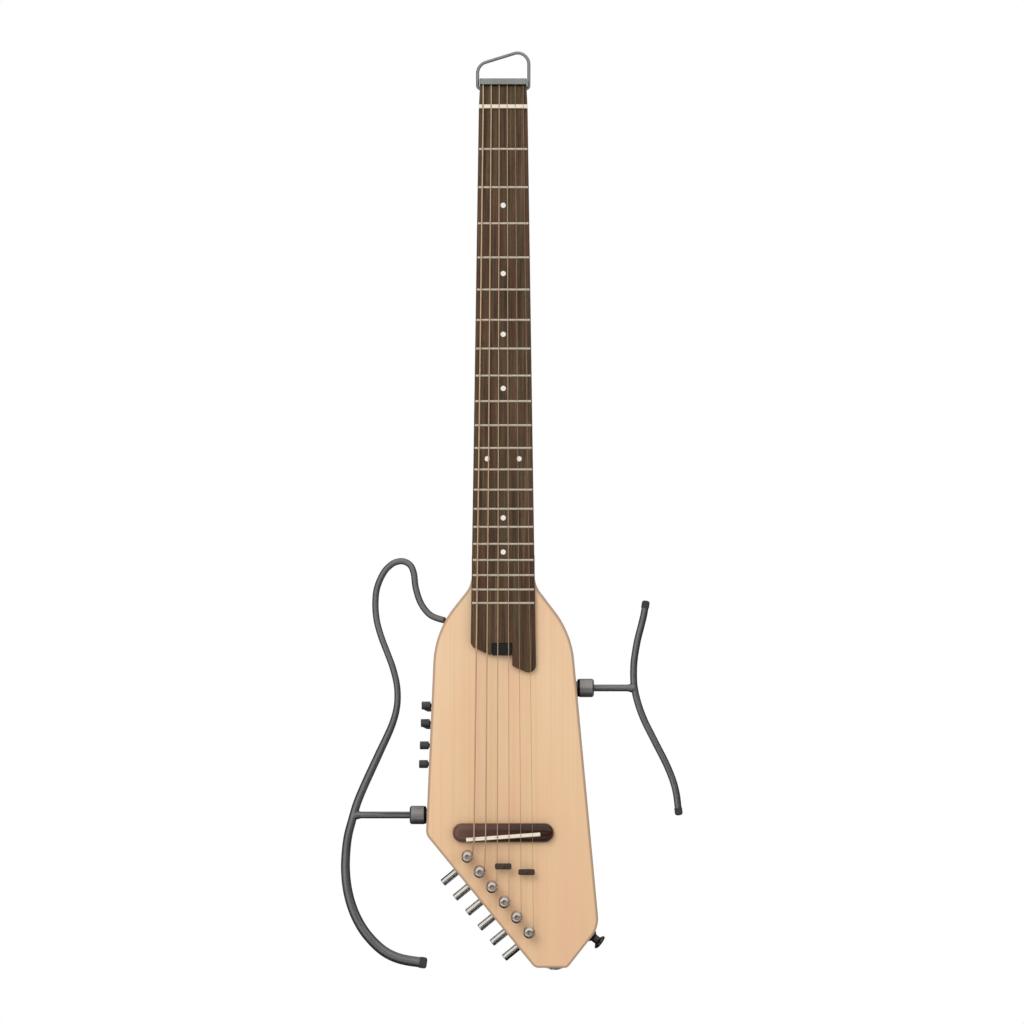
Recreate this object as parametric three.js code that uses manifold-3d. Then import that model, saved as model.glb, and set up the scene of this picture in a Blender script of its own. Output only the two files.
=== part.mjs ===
// A headless travel guitar: a slim wooden body, a set neck, and two bent tube frames screwed on at its
// sides. It hangs upright from its wire loop. Millimetres, +X to the right seen from the front, +Y from
// the strings towards the back, +Z up the neck. The pieces are drawn from the front face of the
// soundboard on the neck's centre line at the nut, and the last lines move the origin to the loop.
import * as THREE from "three";
import { mergeVertices } from "three/addons/utils/BufferGeometryUtils.js";
import Module from "manifold-3d";

const wasm = await Module();
wasm.setup();

// Fits that every piece shares
const seatGap = 0.3;
const runningGap = 0.4;
const cutOverrun = 2;
const farOverrun = 8;

// How many flats stand for a circle
const hexFacets = 6;
const smallFacets = 8;
const postFacets = 10;
const mediumFacets = 12;
const largeFacets = 16;

// Strings and scale
const scaleLength = 635;
const fretCount = 20;
const nutSpread = 35.2;
const saddleSpread = 51.3;
const stringCount = 6;
const woundStrings = 4;
const stringDiameters = [1.35, 1.07, 0.81, 0.61, 0.41, 0.3];
const stringTurns = [1, 1, 1.5, 1.5, 1.5, 1.5];
const stringSides = 6;
const windingSteps = 24;
const windingGap = 0.5;
const nutStringHeight = 7.7;
const saddleStringHeight = 11.5;
const ballRadius = 1.9;
const ballLength = 3.4;
const ballFloor = 1.3;

// Fingerboard, its frets and the nut
const boardNutWidth = 43;
const headWidth = 41;
const boardEndWidth = 58;
const boardThickness = 6;
const boardPastFrets = 46.5;
const boardEndStep = 18.3;
const boardEndSlope = 0.45;
const boardCornerRadius = 6.5;
const boardStepX = 7.9;
const fretWidth = 2;
const fretHeight = 1.1;
const fretInset = 0.8;
const fretFacets = 8;
const nutThickness = 3.6;
const nutHeight = 5;
const nutSlotDepth = 2.6;

// Neck, head plate and hanging loop
const neckDepthAtNut = 14.5;
const neckDepthAtHeel = 17;
const neckHeadLength = 20.4;
const neckSections = 9;
const neckFacets = 9;
const neckFullness = 0.75;
const heelSteps = 5;
const heelSharpness = 2.6;
const heelLength = 46;
const tenonWidth = 46;
const tenonLength = 50;
const tenonDepth = 16;
const plateThickness = 5.3;
const plateOverhang = 10.8;
const plateWidth = 41.6;
const plateCornerRadius = 1.5;
const loopWire = 2.8;
const loopHalfWidth = 22.6;
const loopLeftHeight = 39.7;
const loopSlope = 0.309;
const loopBendRadius = 10;
const loopFootLength = 7;
const loopDepth = 4;
const loopSides = 6;
const bendSteps = 4;
const trussWidth = 6;
const trussDepth = 7;
const trussCover = 3.6;
const trussNutRadius = 3.4;
const trussNutLength = 8;
const trussCapWidth = 17.2;
const trussCapLength = 10.3;
const trussCapRound = 1;

// Body
const bodyBeforeSaddle = 215.5;
const bodyLength = 337.5;
const bodyLeft = 68.2;
const bodyRight = 84.6;
const bodyDepth = 40;
const topThickness = 3;
const backThickness = 3;
const edgeRound = 1.6;
const neckFillet = 26;
// Each corner: its side (-1 left, 1 right), its shares of that side's width and of the body's length,
// and the share of the body's length that its fillet's radius takes.
const bodyCornerShares = [
  [-1, 0.887, 0.122, 0.249],
  [-1, 1, 0.652, 0.031],
  [1, 0.329, 1, 0.021],
  [1, 0.67, 1, 0.016],
  [1, 1, 0.8945, 0.078],
  [1, 0.714, 0.127, 0.24],
];
const outlineArcSteps = 3;

// Bridge, saddle and string guides
const bridgeLength = 89.2;
const bridgeWidth = 16.8;
const bridgeHeight = 7.6;
const bridgeRound = 2.4;
const bridgeSetBack = 2.5;
const bridgeEndRound = 8.2;
const saddleLength = 65.4;
const saddleThickness = 3.2;
const saddleCompensation = 5.5;
const saddleAngle = 4.2 * THREE.MathUtils.DEG2RAD;
const saddleSlotDepth = 5;
const pickupThickness = 1.2;
const guideLength = 14.6;
const guideWidth = 5.2;
const guideCorner = 0.9;
const guideThickness = 3;
const guideClearance = 5.4;
const guideLegRadius = 1.8;
const guideHeadProud = 0.6;
const guideDrops = [26, 31];
const guideCrossingShare = 0.45;

// Tuners, along the slanted lower-left edge
const postPitch = 17.2;
const postInset = 16.7;
const postRowShare = 0.53;
const postHeadRadius = 5.15;
const postHeadHeight = 4;
const postHeadRound = 2.6;
const domeSteps = 2;
const postWaistRadius = 3.3;
const postWaistHeight = 6;
const postFlangeRadius = 4.4;
const postFlangeHeight = 0.9;
const postShaftRadius = 3;
const postSlotWidth = 1.2;
const postSlotDepth = 1.4;
const stringEntryHeight = 5.8;
const washerRadius = 6;
const washerThickness = 1;
const sleeveRadius = 4.3;
const ledgeDepth = 14;
const recessInboard = 15.5;
const recessEnd = 2;
const gearTeeth = 14;
const toothShares = [0, 0.37, 0.63];
const wormPitch = 2;
const wormPitchRadius = 1.6;
const toothAddendum = 0.5;
const toothDedendum = 0.62;
const wheelThickness = 2.4;
const wormTurns = 2.5;
const wormFacets = 6;
const wormRings = 5;
const wormSharpness = 2.6;
const wormShaftRadius = 1.2;
const housingThickness = 11;
const housingInboard = 9;
const housingOutboard = 11.5;
const housingBefore = 6.7;
const housingAfter = 9.7;
const housingCorner = 2.5;
const housingLug = 5;
const lugCorner = 1.2;
const housingLugThickness = 2;
const keyStart = 16;
const keyEnd = 33.6;
const keyRadius = 3.55;
const keyRound = 0.9;

// Frames, their sockets and collars
const frameDepth = 20;
// Drops below the body's start and heights here are shares of the body's length.
const lapRodShare = 0.605;
const armRodShare = 0.2711;
const rodRadius = 3.05;
const spigotRadius = 3;
const spigotLength = 20;
const flangeRadius = 5.4;
const flangeThickness = 2.5;
const socketNoseRadius = 5.9;
const socketNoseLength = 8.5;
const socketLength = 25;
const keyWidth = 2;
const keyProud = 1.3;
const keyLength = 14;
const collarRadius = 8.2;
const collarLength = 14.6;
const collarShoulder = 4;
const collarChamfer = 1.2;
const collarStandOff = 0.8;
const tubeSides = 8;
const lapTubeTop = 2.85;
const lapTubeMiddle = 3.6;
const lapTubeEnd = 4.6;
const lapTubeSteps = 44;
const lapTaperShares = [0.4, 0.58, 0.97];
const lapHeightShare = 1.0569;
const lapWidth = 88.3;
const lapTopShare = -0.0619;
const lapInnerX = 51.7;
const hornPinRadius = 1.9;
const hornPinLength = 11;
const pastShoulderShare = 0.15;
const armTubeRadius = 3.1;
const armTubeSteps = 26;
const armHeightShare = 0.563;
const armWidth = 40;
const armTopShare = 0.0474;
const armInnerX = 115.6;
const capWall = 0.6;
const capLength = 7;
const capInside = 5;

// The lap frame's bends, from the horn tip: shares of its width outward and of its height downward.
const lapRouteShares = [
  [0, 0.147],
  [0.05, 0.144],
  [0.151, 0.133],
  [0.239, 0.106],
  [0.294, 0.066],
  [0.316, 0.027],
  [0.351, 0.009],
  [0.422, 0],
  [0.503, 0.003],
  [0.553, 0.011],
  [0.612, 0.027],
  [0.682, 0.066],
  [0.699, 0.106],
  [0.686, 0.146],
  [0.643, 0.186],
  [0.582, 0.226],
  [0.524, 0.265],
  [0.485, 0.305],
  [0.476, 0.335],
  [0.485, 0.365],
  [0.529, 0.405],
  [0.673, 0.484],
  [0.821, 0.564],
  [0.886, 0.604],
  [0.932, 0.643],
  [0.974, 0.683],
  [0.994, 0.723],
  [1, 0.763],
  [0.988, 0.803],
  [0.956, 0.842],
  [0.898, 0.882],
  [0.805, 0.922],
  [0.673, 0.958],
  [0.573, 0.976],
  [0.472, 0.987],
  [0.371, 0.993],
  [0.26, 0.997],
];
// The arm frame's bends from its top end: shares of its width outward and of its height downward.
const armRouteShares = [
  [0.251, 0.026],
  [0.229, 0.054],
  [0.165, 0.11],
  [0.096, 0.166],
  [0.045, 0.222],
  [0.009, 0.278],
  [0, 0.335],
  [0.012, 0.388],
  [0.069, 0.447],
  [0.151, 0.503],
  [0.26, 0.559],
  [0.393, 0.615],
  [0.528, 0.671],
  [0.666, 0.727],
  [0.788, 0.783],
  [0.887, 0.839],
  [0.952, 0.895],
  [0.987, 0.955],
];

// Electronics and their covers
const cavityLeft = 58;
const cavityRight = 40;
const cavityTopShare = 0.2963;
const cavityHeightShare = 0.2133;
const cavityFloor = 8;
const coverMargin = 5;
const coverThickness = 3;
const coverCorner = 6;
const coverScrewInset = 4.2;
const screwHeadRadius = 2.2;
const screwHeadHeight = 1.2;
const panelWidth = 18;
const panelThickness = 1.6;
const panelMargin = 8;
const knobDropShares = [0.3173, 0.3633, 0.4219, 0.4711];
const knobRadius = 3.6;
const knobLength = 8;
const knobRound = 0.6;
const knobStandOff = 0.6;
const pointerReach = 5.4;
const pointerWidth = 2.2;
const pointerKnobCount = 2;
const pointerShoulderShare = 0.4;
const knobShaftRadius = 1.5;
const potRadius = 4.8;
const potLength = 7;
const boardCardThickness = 1.6;
const potDepthInside = 6;
const cardMargin = 3;
const cardEdge = 1;
const batteryWidth = 26.5;
const batteryHeight = 48.5;
const batteryThickness = 17.5;
const batteryRight = 37;
const terminalRadius = 2.8;
const terminalHeight = 2.4;
const doorMargin = 2;
const doorLip = 1.2;
const hingeRadius = 1.3;
const hingePinRadius = 0.7;
const hingePinLength = 1.8;
const latchWidth = 9;
const latchLength = 3;
const latchInset = 1.5;

// Output jack and strap button
const jackX = 45.6;
const jackBarrelRadius = 4.7;
const jackBore = 3.25;
const jackProud = 3.6;
const jackNutRadius = 7.2;
const jackNutHeight = 2.4;
const jackBodyRadius = 8;
const jackBodyLength = 18;
const jackWall = 4;
const strapNeckRadius = 3.6;
const strapFlangeRadius = 6.6;
const strapHeight = 11.5;
const strapFlangeThickness = 2.6;
const strapFlangeRound = 1.3;
const strapFootRadius = 5.6;
const strapScrewRadius = 1.8;
const strapScrewLength = 18;
const strapSeatShare = 0.75;

// Colours as a maker's list of finishes
const finishes = {
  spruce: [0xecc6a1, 0.55, 0],
  mahogany: [0x9a6a48, 0.6, 0],
  rosewood: [0x5a4433, 0.5, 0],
  bone: [0xf4ead6, 0.35, 0],
  gunmetal: [0x6a6a6c, 0.4, 0.6],
  nickel: [0xb9b4ae, 0.25, 0.95],
  bronze: [0xa9754a, 0.35, 0.9],
  steel: [0xc4c4c4, 0.3, 0.95],
  blackPlastic: [0x1c1c1e, 0.5, 0],
  circuitGreen: [0x2c5a3a, 0.6, 0],
  brass: [0xb08b4f, 0.35, 0.9],
  rubber: [0x242424, 0.8, 0],
};
const materials = Object.fromEntries(
  Object.entries(finishes).map(([name, [color, roughness, metalness]]) => [
    name,
    new THREE.MeshStandardMaterial({ name, color, roughness, metalness }),
  ]),
);

const guitar = new THREE.Group();

// Solids

// A closed geometry as a manifold solid, with collapsed triangles dropped and faces turned outward.
function solid(geometry) {
  const bare = geometry.index ? geometry.toNonIndexed() : geometry.clone();
  for (const name of Object.keys(bare.attributes)) {
    if (name !== "position") bare.deleteAttribute(name);
  }
  const merged = mergeVertices(bare, 1e-4);
  const kept = [];
  const index = merged.index.array;
  for (let i = 0; i < index.length; i += 3) {
    const [a, b, c] = [index[i], index[i + 1], index[i + 2]];
    if (a !== b && b !== c && c !== a) kept.push(a, b, c);
  }
  const made = manifoldOf(merged.attributes.position.array, kept);
  if (made.volume() >= 0) return made;
  const turned = [];
  for (let i = 0; i < kept.length; i += 3) turned.push(kept[i], kept[i + 2], kept[i + 1]);
  return manifoldOf(merged.attributes.position.array, turned);
}

function manifoldOf(positions, triangles) {
  return new wasm.Manifold(
    new wasm.Mesh({
      numProp: 3,
      vertProperties: new Float32Array(positions),
      triVerts: new Uint32Array(triangles),
    }),
  );
}

function geometryOf(made) {
  const mesh = made.getMesh();
  const positions = new Float32Array(mesh.numVert * 3);
  for (let i = 0; i < mesh.numVert; i += 1) {
    positions.set(mesh.vertProperties.subarray(i * mesh.numProp, i * mesh.numProp + 3), i * 3);
  }
  const geometry = new THREE.BufferGeometry();
  geometry.setAttribute("position", new THREE.BufferAttribute(positions, 3));
  geometry.setIndex(new THREE.BufferAttribute(new Uint32Array(mesh.triVerts), 1));
  return geometry;
}

function addPiece(name, made, finish) {
  const mesh = new THREE.Mesh(geometryOf(made), materials[finish]);
  mesh.name = name;
  guitar.add(mesh);
}

function joined(...made) {
  return made.reduce((all, next) => all.add(next));
}

// A box between two corners.
function block(x, y, z) {
  const geometry = new THREE.BoxGeometry(x[1] - x[0], y[1] - y[0], z[1] - z[0]);
  geometry.translate((x[0] + x[1]) / 2, (y[0] + y[1]) / 2, (z[0] + z[1]) / 2);
  return solid(geometry);
}

// A shape drawn in X and Z, extruded from one depth to another, with both rims rounded by bevel.
function slab(shape, front, back, bevel = 0, arcSteps = 1) {
  const geometry = new THREE.ExtrudeGeometry(shape, {
    depth: back - front - 2 * bevel,
    bevelEnabled: bevel > 0,
    bevelThickness: bevel,
    bevelSize: bevel,
    bevelOffset: -bevel,
    bevelSegments: 1,
    curveSegments: arcSteps,
  });
  geometry.translate(0, 0, bevel - back);
  geometry.rotateX(Math.PI / 2);
  return solid(geometry);
}

// A turned piece: profile points are [radius, distance along the axis].
function turned(profile, facets, origin, axis) {
  const points = profile.map(([radius, along]) => new THREE.Vector2(radius, along));
  const geometry = new THREE.LatheGeometry(points, facets);
  const turn = new THREE.Quaternion().setFromUnitVectors(new THREE.Vector3(0, 1, 0), axis);
  geometry.applyQuaternion(turn);
  geometry.translate(origin.x, origin.y, origin.z);
  return solid(geometry);
}

function rod(radius, from, to, facets, origin, axis) {
  return turned([[0, from], [radius, from], [radius, to], [0, to]], facets, origin, axis);
}

const alongX = new THREE.Vector3(1, 0, 0);
const alongY = new THREE.Vector3(0, 1, 0);
const alongZ = new THREE.Vector3(0, 0, 1);

// Corners [x, z, radius] as a shape whose corners are round arcs.
function roundedShape(corners) {
  const shape = new THREE.Shape();
  corners.forEach(([x, z, radius], i) => {
    const here = new THREE.Vector2(x, z);
    const before = new THREE.Vector2(...corners.at(i - 1).slice(0, 2)).sub(here).normalize();
    const next = corners[(i + 1) % corners.length];
    const after = new THREE.Vector2(next[0], next[1]).sub(here).normalize();
    const half = Math.acos(THREE.MathUtils.clamp(before.dot(after), -1, 1)) / 2;
    const tangent = radius / Math.tan(half);
    const bisector = before.clone().add(after).normalize();
    const centre = here.clone().addScaledVector(bisector, radius / Math.sin(half));
    const start = here.clone().addScaledVector(before, tangent).sub(centre);
    const end = here.clone().addScaledVector(after, tangent).sub(centre);
    const clockwise = before.cross(after) > 0;
    if (i === 0) shape.moveTo(centre.x + start.x, centre.y + start.y);
    else shape.lineTo(centre.x + start.x, centre.y + start.y);
    if (radius > 0) shape.absarc(centre.x, centre.y, radius, start.angle(), end.angle(), clockwise);
  });
  shape.closePath();
  return shape;
}

function roundedRectangle(x, z, radius) {
  return roundedShape([
    [x[0], z[0], radius],
    [x[1], z[0], radius],
    [x[1], z[1], radius],
    [x[0], z[1], radius],
  ]);
}

// Rings of points, each with as many as the last, skinned over and closed at both ends.
function skinned(rings) {
  const sides = rings[0].length;
  const positions = rings.flat().flatMap((point) => point.toArray());
  const triangles = [];
  for (let i = 0; i + 1 < rings.length; i += 1) {
    for (let k = 0; k < sides; k += 1) {
      const [a, b] = [i * sides + k, i * sides + ((k + 1) % sides)];
      triangles.push(a, b, a + sides, b, b + sides, a + sides);
    }
  }
  const last = (rings.length - 1) * sides;
  for (let k = 1; k + 1 < sides; k += 1) triangles.push(0, k + 1, k, last, last + k, last + k + 1);
  const geometry = new THREE.BufferGeometry();
  geometry.setAttribute("position", new THREE.Float32BufferAttribute(positions, 3));
  geometry.setIndex(triangles);
  return solid(geometry);
}

// A closed tube with flat ends along a list of points, each with its own radius.
function tube(points, radii, sides) {
  const tangents = points.map((_, i) => {
    const next = points[Math.min(i + 1, points.length - 1)];
    return next.clone().sub(points[Math.max(i - 1, 0)]).normalize();
  });
  const normal = alongY.clone();
  const rings = points.map((point, i) => {
    normal.addScaledVector(tangents[i], -normal.dot(tangents[i])).normalize();
    const side = new THREE.Vector3().crossVectors(tangents[i], normal);
    return Array.from({ length: sides }, (_, k) => {
      const angle = (2 * Math.PI * k) / sides;
      const along = normal.clone().multiplyScalar(radii[i] * Math.cos(angle));
      return along.addScaledVector(side, radii[i] * Math.sin(angle)).add(point);
    });
  });
  return skinned(rings);
}

// Places along the neck

function boardHalfWidth(z) {
  if (z > 0) return THREE.MathUtils.lerp(boardNutWidth, headWidth, z / neckHeadLength) / 2;
  return (boardNutWidth + ((boardEndWidth - boardNutWidth) * -z) / boardLongEnd) / 2;
}

function fretZ(fret) {
  return -scaleLength * (1 - 2 ** (-fret / 12));
}

const boardShortEnd = boardPastFrets - fretZ(fretCount);
const boardLongEnd = boardShortEnd + boardEndStep;

// The middle of string i counted from the bass side, as a share from -0.5 to 0.5 of a spread.
function stringShare(i) {
  return i / (stringCount - 1) - 0.5;
}

const saddleZ = -scaleLength - saddleCompensation;

function saddleZAt(x) {
  return saddleZ + x * Math.tan(saddleAngle);
}

// The body's outline and the slanted edge that carries the tuners

const bodyStart = scaleLength - bodyBeforeSaddle;

// How far below the nut a share of the body's length lies.
function bodyDrop(share) {
  return bodyStart + share * bodyLength;
}

const bodyCorners = bodyCornerShares.map(([side, across, down, round]) => [
  side * across * (side < 0 ? bodyLeft : bodyRight),
  -bodyDrop(down),
  round * bodyLength,
]);
const [leftShoulder, leftLow, edgeLow, flankStart, rightLow, rightShoulder] = bodyCorners;
const neckJoint = boardHalfWidth(-bodyStart);
const bodyTopFlat = bodyStart - neckFillet;
const bodyCornerList = [
  [-neckJoint, -bodyStart, neckFillet],
  ...bodyCorners,
  [neckJoint, -bodyStart, neckFillet],
  [neckJoint, -bodyTopFlat, 0],
  [-neckJoint, -bodyTopFlat, 0],
];
const bodyOutline = roundedShape(bodyCornerList);

const edgeTop = new THREE.Vector3(leftLow[0], 0, leftLow[1]);
const edgeBottom = new THREE.Vector3(edgeLow[0], 0, edgeLow[1]);
const edgeAlong = edgeBottom.clone().sub(edgeTop).normalize();
const edgeOut = new THREE.Vector3(edgeAlong.z, 0, -edgeAlong.x);
const postRowMiddle = edgeTop.distanceTo(edgeBottom) * postRowShare;
const firstPostAlong = postRowMiddle - ((stringCount - 1) * postPitch) / 2;

// A point from a tuner's post: distances along the edge, outward across it, and in depth.
function fromPost(i, along, out, depth) {
  return edgeTop
    .clone()
    .addScaledVector(edgeAlong, firstPostAlong + i * postPitch + along)
    .addScaledVector(edgeOut, out - postInset)
    .setY(depth);
}

// A shape in tuner i's own directions, out along x and along the edge, as a solid between two depths.
function tunerSlab(i, out, along, radius, front, back) {
  const corner = (o, a) => {
    const place = fromPost(i, a, o, 0);
    return [place.x, place.z, radius];
  };
  return slab(
    roundedShape([
      corner(out[0], along[0]),
      corner(out[1], along[0]),
      corner(out[1], along[1]),
      corner(out[0], along[1]),
    ]),
    front,
    back,
  );
}

// The side of the body at a height, from its straight left or right edge.
function bodySideX(side, z) {
  const [upper, lower] = side < 0 ? [leftShoulder, leftLow] : [rightShoulder, rightLow];
  return upper[0] + ((lower[0] - upper[0]) * (z - upper[1])) / (lower[1] - upper[1]);
}

// Gears: a wheel on the post and a worm on the key's shaft

const wheelPitchRadius = (gearTeeth * wormPitch) / (2 * Math.PI);
const gearDistance = wheelPitchRadius + wormPitchRadius;
const wheelDepth = ledgeDepth + seatGap + housingThickness / 2;
const wormLength = wormTurns * wormPitch;

// The toothed wheel's rim, with a gap facing the worm.
function wheelSolid(i) {
  const centre = fromPost(i, 0, 0, 0);
  const toWorm = Math.atan2(edgeAlong.z, edgeAlong.x);
  const radii = [-toothDedendum, toothAddendum, toothAddendum];
  const shape = new THREE.Shape();
  for (let tooth = 0; tooth < gearTeeth; tooth += 1) {
    toothShares.forEach((share, k) => {
      const angle = toWorm + (2 * Math.PI * (tooth + share)) / gearTeeth;
      const radius = wheelPitchRadius + radii[k];
      const [x, z] = [centre.x + radius * Math.cos(angle), centre.z + radius * Math.sin(angle)];
      if (tooth === 0 && k === 0) shape.moveTo(x, z);
      else shape.lineTo(x, z);
    });
  }
  shape.closePath();
  return slab(shape, wheelDepth - wheelThickness / 2, wheelDepth + wheelThickness / 2);
}

// The worm's right-hand thread around its axis, which points outward across the edge.
function wormSolid(i) {
  const centre = fromPost(i, gearDistance, 0, wheelDepth);
  const toWheel = edgeAlong.clone().negate();
  const side = new THREE.Vector3().crossVectors(edgeOut, toWheel);
  const root = wormPitchRadius - toothDedendum;
  const count = wormTurns * wormRings;
  const rings = Array.from({ length: count + 1 }, (_, ring) => {
    const along = wormLength * (ring / count - 0.5);
    return Array.from({ length: wormFacets }, (__, k) => {
      const angle = (2 * Math.PI * k) / wormFacets;
      const phase = 2 * Math.PI * (along / wormPitch) - angle;
      const crest = (0.5 + 0.5 * Math.cos(phase)) ** wormSharpness;
      const radius = root + (toothDedendum + toothAddendum) * crest;
      const point = centre.clone().addScaledVector(edgeOut, along);
      point.addScaledVector(toWheel, radius * Math.cos(angle));
      return point.addScaledVector(side, radius * Math.sin(angle));
    });
  });
  return skinned(rings);
}

const postTop = -(washerThickness + seatGap + postFlangeHeight + postWaistHeight + postHeadHeight);

function tunerPost(i) {
  const origin = fromPost(i, 0, 0, 0);
  const waistTop = postTop + postHeadHeight;
  const waistBottom = waistTop + postWaistHeight;
  const profile = [[0, postTop]];
  for (let step = 0; step <= domeSteps; step += 1) {
    const angle = (Math.PI / 2) * (step / domeSteps);
    profile.push([
      postHeadRadius - postHeadRound * (1 - Math.sin(angle)),
      postTop + postHeadRound * (1 - Math.cos(angle)),
    ]);
  }
  profile.push(
    [postHeadRadius, waistTop],
    [postWaistRadius, waistTop],
    [postWaistRadius, waistBottom],
    [postFlangeRadius, waistBottom],
    [postFlangeRadius, waistBottom + postFlangeHeight],
    [postShaftRadius, waistBottom + postFlangeHeight],
    [postShaftRadius, wheelDepth + wheelThickness],
    [0, wheelDepth + wheelThickness],
  );
  const slot = block(
    [origin.x - postHeadRadius - cutOverrun, origin.x + postHeadRadius + cutOverrun],
    [postTop - cutOverrun, postTop + postSlotDepth],
    [origin.z - postSlotWidth / 2, origin.z + postSlotWidth / 2],
  );
  addPiece(
    `tuner_post_${i + 1}`,
    joined(turned(profile, postFacets, origin, alongY), wheelSolid(i)).subtract(slot),
    "nickel",
  );
}

function tunerKey(i) {
  const origin = fromPost(i, gearDistance, 0, wheelDepth);
  const wormEnd = wormLength / 2 - toothAddendum / 2;
  const shaft = rod(wormShaftRadius, wormEnd, keyStart + keyRound, hexFacets, origin, edgeOut);
  const stub = rod(wormShaftRadius, -wormEnd - wormPitch / 2, -wormEnd, hexFacets, origin, edgeOut);
  const button = turned(
    [
      [0, keyStart],
      [keyRadius - keyRound, keyStart],
      [keyRadius, keyStart + keyRound],
      [keyRadius, keyEnd - keyRound],
      [keyRadius - keyRound, keyEnd],
      [0, keyEnd],
    ],
    postFacets,
    origin,
    edgeOut,
  );
  addPiece(`tuner_key_${i + 1}`, joined(shaft, stub, wormSolid(i), button), "nickel");
}

function tunerHousing(i) {
  const post = fromPost(i, 0, 0, 0);
  const worm = fromPost(i, gearDistance, 0, wheelDepth);
  const front = ledgeDepth + seatGap;
  const back = front + housingThickness;
  const shellOut = [-housingInboard, housingOutboard];
  const shell = tunerSlab(i, shellOut, [-housingBefore, housingAfter], housingCorner, front, back);
  const lugOut = [-housingInboard - housingLug, -housingInboard + housingCorner];
  const lugAlong = [-housingLug / 2, housingLug / 2];
  const lug = tunerSlab(i, lugOut, lugAlong, lugCorner, front, front + housingLugThickness);
  const washerFront = -washerThickness - seatGap;
  const sleeve = rod(sleeveRadius, washerFront, front + cutOverrun, smallFacets, post, alongY);
  const washer = rod(washerRadius, washerFront, -seatGap, mediumFacets, post, alongY);
  const wheelRoom = wheelPitchRadius + toothAddendum + runningGap;
  const wormRoom = wormPitchRadius + toothAddendum + runningGap;
  const wheelHollow = rod(
    wheelRoom,
    wheelDepth - wheelThickness / 2 - runningGap,
    wheelDepth + wheelThickness + runningGap,
    postFacets,
    post,
    alongY,
  );
  const boreRadius = postShaftRadius + runningGap;
  const bore = rod(boreRadius, washerFront - cutOverrun, wheelDepth, postFacets, post, alongY);
  const wormReach = wormLength / 2 + wormPitch;
  const wormHollow = rod(wormRoom, -wormReach, wormReach, smallFacets, worm, edgeOut);
  const shaftRoom = wormShaftRadius + runningGap;
  const shaftBore = rod(shaftRoom, 0, housingOutboard + cutOverrun, smallFacets, worm, edgeOut);
  const made = joined(shell, lug, sleeve, washer)
    .subtract(wheelHollow)
    .subtract(bore)
    .subtract(wormHollow)
    .subtract(shaftBore);
  addPiece(`tuner_housing_${i + 1}`, made, "nickel");
}

// Fingerboard with its frets, and the nut in its slot

function boardShape(headZ) {
  const slantEnd = (x0, z0, x) => z0 - (x - x0) * boardEndSlope;
  const leftX = -boardHalfWidth(-boardShortEnd);
  const rightX = boardHalfWidth(-boardLongEnd);
  const stepRight = boardStepX;
  const capLeft = stepRight - trussCapWidth - seatGap * 2;
  return roundedShape([
    [-boardHalfWidth(headZ), headZ, 0],
    [-boardHalfWidth(0), 0, 0],
    [leftX, slantEnd(capLeft, -boardShortEnd, leftX), boardCornerRadius],
    [capLeft, -boardShortEnd, seatGap],
    [capLeft, trussCapTop, 0],
    [stepRight, trussCapTop, 0],
    [stepRight, slantEnd(rightX, -boardLongEnd, stepRight), seatGap],
    [rightX, -boardLongEnd, boardCornerRadius],
    [boardHalfWidth(0), 0, 0],
    [boardHalfWidth(headZ), headZ, 0],
  ]);
}

const trussCapTop = -boardShortEnd + trussCapLength + 2 * seatGap;

function fingerboard() {
  let made = slab(boardShape(neckHeadLength), -boardThickness, -seatGap);
  for (let fret = 1; fret <= fretCount; fret += 1) {
    const z = fretZ(fret);
    const half = boardHalfWidth(z) - fretInset;
    const crown = rod(1, -half, half, fretFacets, new THREE.Vector3(0, 0, 0), alongX);
    const shaped = crown.scale([1, fretHeight, fretWidth / 2]).translate([0, -boardThickness, z]);
    made = made.add(shaped);
  }
  const slotHalf = boardHalfWidth(0) + cutOverrun;
  const slot = block(
    [-slotHalf, slotHalf],
    [-boardThickness - cutOverrun, -boardThickness + nutSlotDepth],
    [-seatGap, nutThickness + seatGap],
  );
  addPiece("fingerboard", made.subtract(slot), "rosewood");
}

function nut() {
  const base = -boardThickness + nutSlotDepth - seatGap;
  const half = boardHalfWidth(0);
  let made = block([-half, half], [base - nutHeight, base], [0, nutThickness]);
  stringDiameters.forEach((diameter, i) => {
    const x = stringShare(i) * nutSpread;
    const reach = diameter / 2 + seatGap;
    const floor = -nutStringHeight + reach;
    const notch = block(
      [x - reach, x + reach],
      [base - nutHeight - cutOverrun, floor],
      [-cutOverrun, nutThickness + cutOverrun],
    );
    made = made.subtract(notch);
  });
  addPiece("nut", made, "bone");
}

// Neck: a lofted back under the fingerboard, a heel, and a tenon in the body

function neckSection(z, depth) {
  return Array.from({ length: neckFacets + 1 }, (_, k) => {
    const angle = (Math.PI * k) / neckFacets;
    const bulge = Math.abs(Math.sin(angle)) ** neckFullness;
    return new THREE.Vector3(boardHalfWidth(z) * Math.cos(angle), depth * bulge, z);
  });
}

const neckEnd = -bodyTopFlat + seatGap;
const tenonEnd = -bodyTopFlat - tenonLength;
const tenonFront = topThickness + seatGap;
const trussEnd = tenonEnd - seatGap;
const trussBack = trussCover + trussDepth;

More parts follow.
